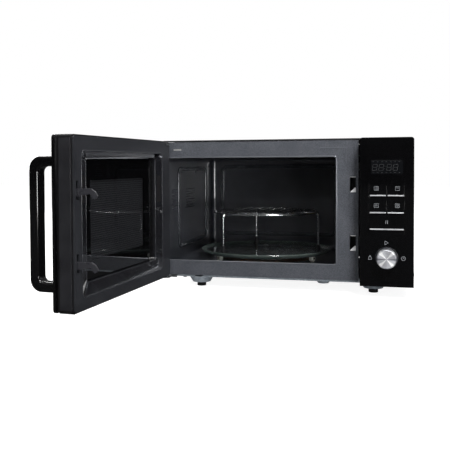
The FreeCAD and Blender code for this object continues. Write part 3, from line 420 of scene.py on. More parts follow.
def thick_rim_glass_painted_sheen():
    """The same glass seen through the rolled rim: greener as thick glass is, and its lighter grey-green and
    clouding are a painted sheen standing in for light the thick rim gathers.
    """
    # painted sheen: lighter grey-green colour and lowered transmission brighten the rim band
    mat, shader, place = blank("thick_rim_glass_painted_sheen", Roughness=0.12, IOR=1.5, Transmission_Weight=0.6)
    colour = mottle(mat, place, 16.0, "#6d7b77", "#84928d")[0]
    feed(mat, shader, "Base Color", colour)
    return mat


def amber_resin():
    """Translucent polyester roller ring: brown amber that light passes into."""
    mat, shader, place = blank("amber_resin", Roughness=0.28, IOR=1.52, Transmission_Weight=0.35,
                        Subsurface_Weight=0.05)
    colour = mottle(mat, place, 22.0, "#241006", "#3a2012")[0]
    feed(mat, shader, "Base Color", colour)
    return mat


def door_frame_of(mat, place):
    """Object coordinates turned back so that X runs across the shut door and Z up it."""
    back = add(mat, "VectorRotate", {"rotation_type": "Z_AXIS", "Center": tuple(HINGE),
                                     "Angle": -DOOR_TURN}, {"Vector": place})
    return back.outputs["Vector"]


def rounded_mask(mat, vector, lo, hi, radius, soft=0.0006):
    """1 inside a rounded rectangle in X and Z, 0 outside; lo and hi are (x, z)."""
    parts = add(mat, "SeparateXYZ", links={"Vector": vector})
    sides = []
    for axis, (a, b) in (("X", (lo[0], hi[0])), ("Z", (lo[1], hi[1]))):
        shift = add(mat, "Math", {"operation": "SUBTRACT", 1: (a + b) / 2}, {0: parts.outputs[axis]})
        size = add(mat, "Math", {"operation": "ABSOLUTE"}, {0: shift.outputs[0]})
        over = add(mat, "Math", {"operation": "SUBTRACT", 1: (b - a) / 2 - radius},
                   {0: size.outputs[0]})
        clear = add(mat, "Math", {"operation": "MAXIMUM", 1: 0.0}, {0: over.outputs[0]})
        sides.append(add(mat, "Math", {"operation": "POWER", 1: 2.0}, {0: clear.outputs[0]}))
    total = add(mat, "Math", {"operation": "ADD"}, {0: sides[0].outputs[0], 1: sides[1].outputs[0]})
    reach = add(mat, "Math", {"operation": "SQRT"}, {0: total.outputs[0]})
    fall = add(mat, "MapRange", {"From Min": radius - soft, "From Max": radius + soft, "To Min": 1.0,
                                 "To Max": 0.0}, {"Value": reach.outputs[0]})
    return fall.outputs["Result"]


def printed_glass(name, lo, hi, radius, clear_alpha, ink="#070708"):
    """Float glass with black ceramic ink on its back and a smoked sight window left in it."""
    mat, shader, place = blank(name, Roughness=0.025, IOR=1.52, Coat_Weight=0.3)
    shader.inputs["Base Color"].default_value = linear(ink)
    vector = door_frame_of(mat, place)
    window = rounded_mask(mat, vector, lo, hi, radius)
    alpha = add(mat, "MapRange", {"To Min": 1.0, "To Max": clear_alpha}, {"Value": window})
    feed(mat, shader, "Alpha", alpha.outputs["Result"])
    return mat


def pierced_steel():
    """Black enamelled steel, etched through with 1.6 mm holes; drawn 3.6 mm apart so they show."""
    mat, shader, place = blank("pierced_black_steel", Metallic=0.3, Roughness=0.4)
    vector = door_frame_of(mat, place)
    scaled = add(mat, "VectorMath", {"operation": "SCALE", "Scale": 1000 / 3.6}, {0: vector})
    cell = add(mat, "VectorMath", {"operation": "FRACTION"}, {0: scaled.outputs[0]})
    middle = add(mat, "VectorMath", {"operation": "SUBTRACT", 1: (0.5, 0.5, 0.5)},
                 {0: cell.outputs[0]})
    flat = add(mat, "VectorMath", {"operation": "MULTIPLY", 1: (1, 0, 1)}, {0: middle.outputs[0]})
    away = add(mat, "VectorMath", {"operation": "LENGTH"}, {0: flat.outputs[0]})
    hole = add(mat, "MapRange", {"From Min": 0.27, "From Max": 0.33, "To Min": 0.0, "To Max": 1.0},
               {"Value": away.outputs["Value"]})
    window = rounded_mask(mat, vector, SIGHT_LO, SIGHT_HI, 0.003)
    inside = add(mat, "Math", {"operation": "MULTIPLY"}, {0: window, 1: hole.outputs["Result"]})
    tone = add(mat, "Mix", {"data_type": "RGBA", 6: linear("#0c0c0d"), 7: linear("#74767c")},
               {0: inside.outputs[0]})
    feed(mat, shader, "Base Color", tone.outputs[2])
    return mat


# ---- sizes of what is seen on the door and the panel ----
SIGHT_LO = (HINGE.x + 96 * MM, 94 * MM)      # sight window of the shut door, across and up
SIGHT_HI = (HINGE.x + 305 * MM, 221.5 * MM)
PRINT_T = 0.12 * MM      # ink and foil stand this far off the panel
PANEL_Y = PANEL_LO.y

POWDER = coated("powder_coated_steel", "#101012", "#161618", 30, 1.6, 0.05, 0.42, IOR=1.5)
ENAMEL = speckled_enamel()
ZINC = zinc_sheet()
PANEL_GLOSS = coated("piano_black_panel", "#050506", "#060607", 60, 30.0, 0.04, 0.07, spread=0.02, IOR=1.5,
                     Coat_Weight=0.4, Coat_Roughness=0.03)
KEY_GLOSS = coated("piano_black_keys", "#060607", "#080809", 40, 20.0, 0.03, 0.09, spread=0.02, IOR=1.5)
HANDLE_GLOSS = coated("polished_black_abs", "#060607", "#080809", 60, 24.0, 0.05, 0.1, spread=0.03, IOR=1.53,
                      Coat_Weight=0.5, Coat_Roughness=0.05)
BLACK_ABS = coated("moulded_black_abs", "#141416", "#1b1b1d", 18, 0.9, 0.03, 0.45, IOR=1.53)
GREY_ABS = coated("satin_grey_abs", "#202125", "#27282c", 24, 1.0, 0.03, 0.4, IOR=1.53)
RECESS_GLOSS = coated("polished_recess_abs", "#17171a", "#1c1c1f", 40, 12.0, 0.02, 0.22, spread=0.05,
                      IOR=1.53,
                      Coat_Weight=1.0, Coat_Roughness=0.06)
# painted highlight: the door bowl's lips take a lighter, metallic grey so they read as thin bright lines
LIP_GLOSS_PAINTED_GLINT = coated("polished_lip_painted_glint", "#3c3d41", "#46474b", 40, 8.0, 0.01, 0.2, metallic=0.4, IOR=1.53,
                   Coat_Weight=1.0,
                   Coat_Roughness=0.08)
HOOK_ABS = coated("latch_hook_pom", "#27272b", "#2e2e32", 14, 1.0, 0.02, 0.28, IOR=1.48, Coat_Weight=0.4)
# painted highlight: the mouth's rolled rim takes a lighter, more metallic grey than the plate's enamel, so it
# reads as a thin glint
RIM_ENAMEL_PAINTED_GLINT = coated("rolled_rim_enamel_painted_glint", "#7c7f86", "#85888f", 40, 1.2, 0.01, 0.2, metallic=0.6, IOR=1.5,
                    Coat_Weight=1.0, Coat_Roughness=0.06)
# painted highlight: the cavity's embossed bands take a lighter, more metallic grey than the cavity, so their
# edges read as glints
EMBOSS_ENAMEL_PAINTED_GLINT = coated("stamped_cavity_enamel_painted_glint", "#3a3d43", "#42454b", 60, 1.4, 0.01, 0.22, metallic=0.5,
                       IOR=1.5,
                       Coat_Weight=1.0, Coat_Roughness=0.08)
CAVITY_ENAMEL = coated("glossy_cavity_enamel", "#34363c", "#3b3d43", 60, 1.4, 0.02, 0.3, metallic=0.2,
                       IOR=1.5,
                       Coat_Weight=0.9, Coat_Roughness=0.07)
EDGE_ABS = coated("door_shell_abs", "#0f0f11", "#141416", 24, 1.2, 0.02, 0.34, IOR=1.53)
STRIP_ABS = coated("edge_strip_abs", "#1b1b1e", "#212124", 24, 1.2, 0.02, 0.3, IOR=1.53)
RUBBER = coated("black_foot_rubber", "#0c0c0c", "#141414", 6, 0.8, 0.05, 0.75, IOR=1.5)
SILICONE = coated("black_silicone", "#131315", "#19191b", 8, 1.2, 0.02, 0.5, IOR=1.42)
CHROME = coated("chromed_wire", "#d4d6d9", "#ececef", 12, 2.0, 0.01, 0.2, metallic=1.0, spread=0.05)
SILVER_FOIL = coated("silver_hot_foil", "#b9babd", "#c9cacd", 10, 1.2, 0.01, 0.34, metallic=0.3)
ALUMINIUM = spun_aluminium()
DISH_GLASS = clear_dish_glass()
RIM_GLASS_PAINTED_SHEEN = thick_rim_glass_painted_sheen()
AMBER = amber_resin()
WHITE_PEEK = coated("white_roller_resin", "#d6d4cd", "#e6e5df", 6, 0.8, 0.02, 0.45, IOR=1.5)
DOOR_GLASS = printed_glass("ink_backed_door_glass", SIGHT_LO, SIGHT_HI, 0.003, 0.55)
DOOR_PANE = printed_glass("ink_edged_inner_pane", SIGHT_LO, SIGHT_HI, 0.003, 0.4, ink="#060607")
PIERCED = pierced_steel()
MICA = coated("mica_sheet", "#9c8762", "#bfae8c", 9, 2.0, 0.05, 0.4, IOR=1.58)
BOARD = coated("green_laminate", "#1f4a2c", "#285a37", 12, 1.5, 0.02, 0.5, IOR=1.55)
IRON = coated("varnished_iron", "#3a3634", "#57504b", 8, 1.2, 0.06, 0.5, metallic=0.6)
FIN = coated("pressed_aluminium", "#a9abae", "#c6c8ca", 10, 1.5, 0.03, 0.35, metallic=1.0)
SCREW_ZINC = coated("bright_zinc_plate", "#a5a8ab", "#c3c5c7", 4, 0.8, 0.02, 0.33, metallic=1.0)
HEATER = coated("scaled_heater_sheath", "#3b3633", "#57504a", 6, 1.0, 0.05, 0.5, metallic=0.8)
GREY_MOULD = coated("moulded_grey_pa", "#55565a", "#626368", 14, 1.0, 0.03, 0.5, IOR=1.53)
PLUG_WHITE = coated("pale_nylon_plug", "#8f8f8d", "#a0a09d", 6, 0.8, 0.02, 0.42, IOR=1.53)
RING_GREY = coated("polished_grey_ring", "#26272a", "#2d2e31", 20, 8.0, 0.01, 0.18, IOR=1.5)
RAMP_WHITE = coated("natural_nylon", "#e0e0e2", "#ececee", 6, 0.8, 0.02, 0.4, IOR=1.53)
LENS = coated("smoked_display_lens", "#0e0f11", "#101113", 40, 20.0, 0.02, 0.06, spread=0.02, IOR=1.49)
SEGMENT = coated("unlit_segment_print", "#131416", "#17181a", 4, 0.8, 0.0, 0.35, IOR=1.5)
SIGN_INK = coated("grey_sign_ink", "#74777b", "#8a8d91", 4, 0.8, 0.0, 0.4, IOR=1.5)

# ---- CAD pieces that keep their shape ----
KEY_NODES = ("key_microwave", "key_grill", "key_defrost", "key_combination", "key_stop")
DRESSED = {     # node: finish, eased edge in millimetres
    "rear_panel": (POWDER, 0.2), "base_plate": (ZINC, 0.4), "rubber_feet": (RUBBER, 0.8),
    "hinge_lower": (SCREW_ZINC, 0.3), "hinge_upper": (SCREW_ZINC, 0.3),
    "control_housing": (BLACK_ABS, 0.4),
    "door_glass": (DOOR_GLASS, 0.0),
    "door_inner_pane": (DOOR_PANE, 0.0), "door_latch": (HOOK_ABS, 0.7),
    "handle": (HANDLE_GLOSS, 0.0), "rack_wire": (CHROME, 0.0), "rack_sleeves": (SILICONE, 0.6),
    "roller_ring": (AMBER, 0.5), "roller_1": (WHITE_PEEK, 0.0), "roller_2": (WHITE_PEEK, 0.0),
    "roller_3": (WHITE_PEEK, 0.0), "cord_gland": (BLACK_ABS, 0.4),
    "case_screws": (SCREW_ZINC, 0.25), "base_screws": (SCREW_ZINC, 0.25),
    "drive_coupler": (AMBER, 0.5), "interlock_frame": (BLACK_ABS, 0.0),
    **{key: (KEY_GLOSS, 0.25) for key in KEY_NODES},
}
for node, (material, edge) in DRESSED.items():
    dressed(node, material, edge * MM)

coil = dressed("latch_spring", SCREW_ZINC)
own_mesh(coil)

INNER_WORKS = {
    "hinge_screws": SCREW_ZINC, "handle_screws": SCREW_ZINC, "key_carrier": BLACK_ABS,
    "control_board": BOARD, "display_module": BLACK_ABS, "dial_encoder": BLACK_ABS,
    "dial_shaft": SCREW_ZINC, "waveguide_cover": MICA, "waveguide": ZINC, "magnetron": FIN,
    "transformer": IRON, "capacitor": FIN, "fan_motor": ZINC, "fan_blade": GREY_MOULD,
    "air_duct": GREY_MOULD, "door_switches": GREY_MOULD, "grill_heater": HEATER,
    "grill_reflector": ZINC, "cavity_lamp": PLUG_WHITE, "filter_board": BOARD,
    "turntable_motor": ZINC,
}
for node, material in INNER_WORKS.items():
    mesh = frame["nodes"][node].data
    mesh.materials.clear()
    mesh.materials.append(material)


# ---- sheet steel: case, front plate, cavity ----
def at(x, y, z):
    """A point given in millimetres."""
    return Vector((x, y, z)) * MM


LOUVRE_PITCH, LOUVRE_ROWS = 7 * MM, 7
UPPER = 0.2      # edges above this are the top ones
MOUTH_LO, MOUTH_HI = at(-230.5, -180, 54.5), at(102, -180, 258.5)
WALL_HOLE_R = 1.6 * MM
SLOT_X, SLOT_UP, SLOT_LOW = (127.5, 138.7), (191.5, 221.0), (81.5, 110.5)


def outer_case():
    """Wrapped case: one bent sheet with a folded front hem and louvres in both sides."""
    lo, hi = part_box("outer_case")
    wraps = []
    for inset, y0, y1, sheet in ((0.0, lo.y, hi.y, 1.0 * MM), (0.5 * MM, lo.y, lo.y + 8 * MM, 2.5 * MM)):
        wrap = block((lo.x + inset, y0, lo.z), (hi.x - inset, y1, hi.z - inset))
        mode("EDIT")
        select_edges(wrap, lambda a, b: abs(a.x - b.x) < 1e-6 and abs(a.z - b.z) < 1e-6 and a.z > lo.z + 0.05)
        bpy.ops.mesh.bevel(offset=4 * MM, segments=8, affect="EDGES")
        select_faces(wrap, lambda c, n: abs(n.y) > 0.9 or n.z < -0.9)
        bpy.ops.mesh.delete(type="FACE")
        mode("OBJECT")
        apply_modifier(wrap, "SOLIDIFY", thickness=sheet, offset=-1.0, use_even_offset=True)
        wraps.append(wrap)
    case = wraps[0]
    louvres = []
    for x, z0 in ((hi.x, 225.0), (lo.x, 60.0)):
        for y in (-60, 20, 100):
            slot = block((x - 3 * MM, y * MM, z0 * MM), (x + 3 * MM, (y + 60) * MM, (z0 + 3) * MM))
            repeat(slot, ((0, 0, LOUVRE_PITCH), LOUVRE_ROWS))
            louvres.append(slot)
    carve(case, louvres)
    case = joined([case, wraps[1]])
    ease(case, 0.3 * MM)
    smooth(case)
    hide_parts("outer_case")
    finish(case, "outer_case_wrap", "oven", POWDER)


def front_plate():
    """Pressed plate round the mouth, with its rolled rim, beads and latch slots."""
    plate = block((PLATE_LO.x, FACE_Y, PLATE_LO.z), PLATE_HI)
    mode("EDIT")
    select_edges(plate, lambda a, b: abs(a.y - b.y) > 1e-4 and a.z > UPPER)
    bpy.ops.mesh.bevel(offset=2 * MM, segments=4, affect="EDGES")
    mode("OBJECT")
    holes = [block(MOUTH_LO - at(0, 5, 0), MOUTH_HI + at(0, 5, 0), corner=4 * MM),
             block(at(-245, -185, 283.4), at(-226.5, -175, 286.8)),
             block(at(-216, -185, 273.6), at(-205, -175, 275.2), corner=0.7 * MM)]
    holes += [block(at(SLOT_X[0], -185, z0), at(SLOT_X[1], -175, z1), corner=0.8 * MM)
              for z0, z1 in (SLOT_UP, SLOT_LOW)]
    carve(plate, holes)
    ease(plate, 0.5 * MM, 3)
    # the rolled rim's lighter finish is a painted highlight
    rim = hollow_frame(MOUTH_LO - at(2.2, 0.6, 2.2), MOUTH_HI + at(2.2, 1.6, 2.2), 2.8 * MM, 6 * MM,
                       edge=0.9 * MM)
    finish(rim, "mouth_rim", "oven", RIM_ENAMEL_PAINTED_GLINT)
    beads = [block(at(*low), at(*high), corner=corner * MM, edge=edge * MM, edge_steps=3)
             for low, high, corner, edge in (((72, -180.6, 273.2), (121.4, -179.8, 276.4), 1.5, 0.6),
                                             ((117.8, -180.6, 245), (121.4, -179.8, 274), 1.5, 0.6),
                                             ((132.6, -180.6, 274), (137.4, -179.9, 278.6), 2.2, 0.5))]
    plate = joined([plate] + beads)
    smooth(plate)
    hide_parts("front_plate")
    finish(plate, "front_plate_pressing", "oven", ENAMEL)


def cavity():
    """Oven cavity: deep-drawn box with rounded corners, embossed bands and pierced vents."""
    lo, hi = CAVITY_LO + at(1, 0, 1), CAVITY_HI - at(1, 1, 1)
    shell = block(lo, hi)
    mode("EDIT")
    select_edges(shell, lambda a, b: abs(a.y - b.y) > 1e-3 or (a.y > hi.y - 1e-5 and b.y > hi.y - 1e-5))
    bpy.ops.mesh.bevel(offset=12 * MM, segments=8, affect="EDGES")
    select_faces(shell, lambda c, n: n.y < -0.9)
    bpy.ops.mesh.delete(type="FACE")
    mode("OBJECT")
    apply_modifier(shell, "SOLIDIFY", thickness=1 * MM, offset=1.0, use_even_offset=True)
    mid = (lo.x + hi.x) / 2
    ceiling = ((11 * MM, 0, 0), 16), ((0, 22 * MM, 0), 5)
    fields = []
    for odd in (0, 1):      # every second row is set half a step over
        fields += [
            drill_field((mid + (-86 + 5.5 * odd) * MM, (-100 + 11 * odd) * MM, hi.z), "Z", 3 * MM, *ceiling),
            drill_field((lo.x, (-154 + 2.8 * odd) * MM, (153 + 5.7 * odd) * MM), "X", WALL_HOLE_R,
                        ((0, 5.6 * MM, 0), 9), ((0, 0, 11.4 * MM), 4)),
            drill_field((lo.x, (-58 + 2.8 * odd) * MM, (152 + 5.7 * odd) * MM), "X", WALL_HOLE_R,
                        ((0, 5.6 * MM, 0), 13), ((0, 0, 11.4 * MM), 4)),
            drill_field((hi.x, (112 + 2.6 * odd) * MM, (218 + 5.6 * odd) * MM), "X", WALL_HOLE_R,
                        ((0, 5.1 * MM, 0), 7), ((0, 0, 11.2 * MM), 3))]
    window = block((hi.x - 3 * MM, -28 * MM, 158 * MM), (hi.x + 3 * MM, 28 * MM, 212 * MM))
    shaft = drill_field((mid, -1 * MM, lo.z), "Z", 8 * MM)
    carve(shell, fields + [window, shaft])
    lips = [rim_field((mid + (-86 + 5.5 * odd) * MM, (-100 + 11 * odd) * MM, hi.z), *ceiling)
            for odd in (0, 1)]
    back = hollow_frame((lo.x + 23 * MM, hi.y - 2.4 * MM, 71 * MM),
                        (hi.x - 23 * MM, hi.y + 0.3 * MM, 244 * MM),
                        9 * MM, 18 * MM, edge=1.8 * MM)
    side = hollow_frame(at(-115, 0, 70), at(111, 2.7, 240), 9 * MM, 14 * MM, edge=1.8 * MM)
    side.rotation_euler = (0, 0, math.pi / 2)
    side.location = (lo.x + 2.4 * MM, 0, 0)
    settle(side)
    shell = joined([shell] + lips)
    smooth(shell, 35)
    # the embossed bands' lighter finish is a painted highlight
    finish(joined([back, side]), "cavity_stampings", "oven", EMBOSS_ENAMEL_PAINTED_GLINT)
    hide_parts("cavity")
    finish(shell, "cavity_drawn_box", "oven", CAVITY_ENAMEL)


def plate_plug():
    """Slim snap-in plug that closes the spare slot over the hinge side of the mouth."""
    lo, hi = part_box("plate_plug")
    z = 274.4 * MM
    head = block((lo.x + 0.6 * MM, FACE_Y - 0.6 * MM, z - 1.3 * MM), (hi.x - 0.6 * MM, FACE_Y, z + 1.3 * MM),
                 corner=1.2 * MM,
                 edge=0.4 * MM)
    stem = block(at(-215.8, -180.2, 273.8), (-205.2 * MM, hi.y, 275 * MM), corner=0.5 * MM)
    plug = joined([head, stem])
    smooth(plug)
    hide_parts("plate_plug")
    finish(plug, "plate_plug_clip", "oven", PLUG_WHITE)


def latch_ramps():
    """Pale guide ramps seen at the foot of both latch slots, cut on a slant so only their lit triangle shows,
    the slant being a painted shadow edge; and a pale strip at the top of each slot as a painted highlight of
    the lit sill.
    """
    ramps = []
    for z0, z1 in (SLOT_UP, SLOT_LOW):
        ramp = block(at(SLOT_X[0] + 0.6, -178.4, z0 - 0.5), at(SLOT_X[1] + 1.5, -170, z0 + 8.5))
        mode("EDIT")
        bpy.ops.mesh.select_all(action="SELECT")
        # the slant is where a shadow edge falls on the ramp: painted shadow edge
        bpy.ops.mesh.bisect(plane_co=at(SLOT_X[0] + 0.6, 0, z0 + 0.4), plane_no=(-8.0, 0, 11.5),
                            use_fill=True,
                            clear_outer=True)
        mode("OBJECT")
        # a pale strip at the slot's top edge: painted highlight of the lit sill
        ramps += [ramp, block(at(SLOT_X[0] + 0.6, -178.6, z1 - 1.4), at(SLOT_X[1] + 1, -174, z1 + 1),
                              edge=0.4 * MM)]
    ramps = joined(ramps)
    smooth(ramps)
    finish(ramps, "latch_guide_ramps_painted_light", "oven", RAMP_WHITE)


outer_case()
front_plate()
plate_plug()
latch_ramps()
cavity()


# ---- door leaf ----
def door_depth(n):
    """How far from the front plate, n millimetres, a place on the shut door lies."""
    return FACE_Y + n * MM


def door_bowl():
    """Polished bowl round the sight window: a lip lightened as a painted highlight, sloped walls, then a
    straight well.
    """
    out_x, out_z = (HINGE.x + 36 * MM, HINGE.x + 353 * MM), (43.5 * MM, 266.5 * MM)
    in_x, in_z = (out_x[0] + 20 * MM, out_x[1] - 23 * MM), (out_z[0] + 19 * MM, out_z[1] - 8 * MM)
    lip = 1.8 * MM
    bowl = block((out_x[0] - lip, door_depth(-13.1), out_z[0] - lip),
                 (out_x[1] + lip, door_depth(-1.1), out_z[1] + lip), corner=9.8 * MM)
    slope = block((out_x[0], door_depth(-7), out_z[0]), (out_x[1], door_depth(-0.8), out_z[1]), corner=8 * MM)
    mode("EDIT")
    select_faces(slope, lambda c, n: n.y < -0.9)
    centre = Vector(((out_x[0] + out_x[1]) / 2, door_depth(-7), (out_z[0] + out_z[1]) / 2))
    shrink = ((in_x[1] - in_x[0]) / (out_x[1] - out_x[0]), 1, (in_z[1] - in_z[0]) / (out_z[1] - out_z[0]))
    bpy.ops.transform.resize(value=shrink, center_override=centre)
    bpy.ops.transform.translate(value=(sum(in_x) / 2 - centre.x, 0, sum(in_z) / 2 - centre.z))
    mode("OBJECT")
    well = block((in_x[0], door_depth(-14), in_z[0]), (in_x[1], door_depth(-6), in_z[1]), corner=7 * MM)
    carve(bowl, [slope])
    carve(bowl, [well])
    ease(bowl, 1.5 * MM, 3, 20)
    swing(bowl)
    smooth(bowl, 35)
    finish(bowl, "door_bowl", "door", RECESS_GLOSS)
    # both lips take the lighter grey of a painted highlight
    for name, x, z, over, far, near, wall, corner, edge in (
            ("door_bowl_lip", out_x, out_z, lip, -2.8, -0.65, 1.7, 9.8, 0.7),
            ("door_well_lip", in_x, in_z, 0.8 * MM, -8.5, -6.5, 1.2, 7.8, 0.5)):
        ring = hollow_frame((x[0] - over, door_depth(far), z[0] - over),
                            (x[1] + over, door_depth(near), z[1] + over), wall * MM, corner * MM, edge * MM)
        finish(swing(ring), name, "door", LIP_GLOSS_PAINTED_GLINT)
        smooth(ring)


def door_edge():
    """Free edge of the door: a dark groove behind the glass, then a plain raised strip."""
    body = dressed("door_frame", EDGE_ABS, 0.4 * MM)
    x = HINGE.x + 379.5 * MM
    groove = swing(block((x - 2.2 * MM, door_depth(-33.6), 23 * MM),
                         (x + 2 * MM, door_depth(-26.4), 290.5 * MM)))
    carve(body, [groove])
    smooth(body)
    strip = block((x - 1 * MM, door_depth(-25.4), 28 * MM), (x + 0.7 * MM, door_depth(-5.2), 286 * MM))
    ease(strip, 0.5 * MM, 3)
    finish(swing(strip), "door_edge_strip", "door", STRIP_ABS)
    smooth(strip)


def door_pan():
    """Black steel pan that holds the pierced window, with its folded choke rim."""
    y = FACE_Y - 17 * MM
    lo, hi = Vector((-222 * MM, y, 31 * MM)), Vector((115 * MM, y + 1 * MM, 283 * MM))
    sheet = block(lo, hi, corner=3 * MM)
    rim = hollow_frame(lo - at(0, 11, 0), hi - at(0, 0.2, 0), 1.2 * MM, 3 * MM)
    lip = hollow_frame(lo - at(0, 12, 0), hi - at(0, 12, 0), 9 * MM, 3 * MM)
    pan = swing(joined([sheet, rim, lip]))
    smooth(pan)
    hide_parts("door_mesh")
    finish(pan, "door_pan", "door", PIERCED)


dressed("door_inner_frame", GREY_ABS, 1.2 * MM, steps=3)
door_bowl()
door_edge()
door_pan()


# ---- glass turntable and dial ----
TURNED_STEPS = 128
DISH_FOOT = ((0, 0), (34, 0), (35, -0.8), (38, -0.8), (39, 0))      # from the middle out
DISH_RIM = ((-14, 0), (-9, 0.8), (-4, 2.8), (-1, 6), (0, 8.3), (-0.5, 9.2), (-1.6, 9.5),
            (-2.9, 9.1), (-4.5, 7.6), (-7, 5.9), (-11, 4.9), (-16, 4.5))      # from the outer edge
DISH_T, DISH_SEAT, THICK_RIM = 4.5 * MM, 2.6 * MM, 12 * MM


def glass_turntable():
    """Dished glass plate with a locating ring under it and a rolled rim."""
    centre = (DISH_LO + DISH_HI) / 2
    r = (DISH_HI.x - DISH_LO.x) / 2
    outline = [(x * MM, h * MM) for x, h in DISH_FOOT]
    outline += [(r + x * MM, h * MM) for x, h in DISH_RIM] + [(0, DISH_T)]
    dish = lathe(outline, (centre.x, centre.y, DISH_LO.z + DISH_SEAT), steps=TURNED_STEPS)
    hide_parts("glass_turntable")
    finish(dish, "turntable_glass", "turntable", DISH_GLASS)
    # the rim band takes the glass with the painted sheen
    dish.data.materials.append(RIM_GLASS_PAINTED_SHEEN)
    for face in dish.data.polygons:
        away = face.center - centre
        if math.hypot(away.x, away.y) > r - THICK_RIM:
            face.material_index = 1


KNOB_SIDE = ((-0.4, 0), (-0.1, 0.4), (0, 1.4))      # from the edge, up from the foot
KNOB_CROWN = ((-0.15, -2.2), (-0.5, -1.1), (-1.3, -0.3), (-2.2, 0), (-3.0, -0.15), (-3.4, -0.6))


def dial():
    """Turned knob with an eased rim round a shallow dish."""
    centre = (KNOB_LO + KNOB_HI) / 2
    deep, r = KNOB_HI.y - KNOB_LO.y, (KNOB_HI.x - KNOB_LO.x) / 2
    outline = [(0, 0)] + [(r + x * MM, h * MM) for x, h in KNOB_SIDE]
    outline += [(r + x * MM, deep + h * MM) for x, h in KNOB_CROWN] + [(0, deep - 0.6 * MM)]
    knob = lathe(outline, (centre.x, KNOB_HI.y, centre.z), axis="Y", steps=TURNED_STEPS)
    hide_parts("dial_knob", "dial_cap")
    return finish(knob, "dial_knob_turned", "dial", ALUMINIUM)


def dial_ring():
    """Thin polished ring in the panel round the foot of the dial."""
    lo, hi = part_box("dial_ring")
    centre, foot = (lo + hi) / 2, hi.y - PANEL_Y
    top = foot + 0.5 * MM
    outline = [(x * MM, h) for x, h in
               ((17.9, 0), (19.2, 0), (19.2, foot), (20.3, foot), (20.2, top - 0.1 * MM), (19.9, top),
                (19.3, top), (18.9, top - 0.4 * MM), (17.9, top - 0.6 * MM))]
    ring = lathe(outline, (centre.x, hi.y, centre.z), axis="Y", steps=96)
    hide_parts("dial_ring")
    finish(ring, "dial_ring_turned", "oven", RING_GREY)


KEY_GAP, DIAL_HOLE_R = 0.35 * MM, 19.4 * MM
CAP_COLUMNS, CAP_ROWS, CAP_H = ((164.4, 194.6), (195.6, 225.8)), (183.5, 152.5), 24.5
KEY_CAPS = [(x0, x1, z0, z0 + CAP_H) for z0 in CAP_ROWS for x0, x1 in CAP_COLUMNS]
KEY_CAPS.append((164.4, 225.8, 122.5, 147.0))     # the wide stop key


def control_glass():
    """Panel glass: round upper corners, square foot, openings for the keys and the dial."""
    glass = block(PANEL_LO, PANEL_HI)
    mode("EDIT")
    select_edges(glass, lambda a, b: abs(a.y - b.y) > 1e-4 and a.z > UPPER)
    bpy.ops.mesh.bevel(offset=5 * MM, segments=8, affect="EDGES")
    mode("OBJECT")
    holes = []
    for x0, x1, z0, z1 in KEY_CAPS:
        holes.append(block((x0 * MM - KEY_GAP, PANEL_LO.y - 2 * MM, z0 * MM - KEY_GAP),
                           (x1 * MM + KEY_GAP, PANEL_HI.y + 2 * MM, z1 * MM + KEY_GAP), corner=1.2 * MM))
    middle = (KNOB_LO + KNOB_HI) / 2
    holes.append(drill_field((middle.x, PANEL_Y, middle.z), "Y", DIAL_HOLE_R, depth=12 * MM, sides=64))
    carve(glass, holes)
    ease(glass, 0.3 * MM)
    smooth(glass)
    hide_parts("control_glass")
    finish(glass, "control_glass_sheet", "oven", PANEL_GLOSS)


glass_turntable()
dial()
dial_ring()
control_glass()


# ---- signs, bars and display on the panel ----
def stroke(a, b, width, front, depth=0.4 * MM):
    """One straight mark in the plane of the panel from a to b, each (x, z)."""
    a, b = Vector((a[0], 0, a[1])), Vector((b[0], 0, b[1]))
    run, mid = b - a, (a + b) / 2
    bpy.ops.mesh.primitive_cube_add(size=1, location=(mid.x, front + depth / 2, mid.z),
                                    rotation=(0, -math.atan2(run.z, run.x), 0))
    mark = bpy.context.object
    mark.scale = (run.length + width * 0.2, depth, width)
    settle(mark)
    mode("EDIT")
    select_faces(mark, lambda c, n: n.y < -0.5)
    bpy.ops.mesh.bevel(offset=width * 0.18, segments=1, affect="EDGES")
    mode("OBJECT")
    return mark


def closed_line(points, width, front):
    """A stroke from each point to the next, and back to the first."""
    return [stroke(a, b, width, front) for a, b in zip(points, points[1:] + points[:1])]


def outline_box(x, z, w, h, width, front):
    """Four strokes round a rectangle about its middle."""
    return closed_line([(x - w / 2, z - h / 2), (x + w / 2, z - h / 2), (x + w / 2, z + h / 2),
                        (x - w / 2, z + h / 2)], width, front)


def disc(x, z, r, front, steps=24, depth=0.4 * MM):
    """A round dot on the panel."""
    bpy.ops.mesh.primitive_cylinder_add(vertices=steps, radius=r, depth=depth,
                                        location=(x, front + depth / 2, z), rotation=(math.pi / 2, 0, 0))
    mark = bpy.context.object
    settle(mark)
    return mark


SIGN_W = 0.5 * MM
SIGN_FINE = SIGN_W * 0.8
SIGN_SHIFT = {"key_microwave": -2.8, "key_defrost": -2.8, "key_grill": 3.0, "key_combination": 3.0}


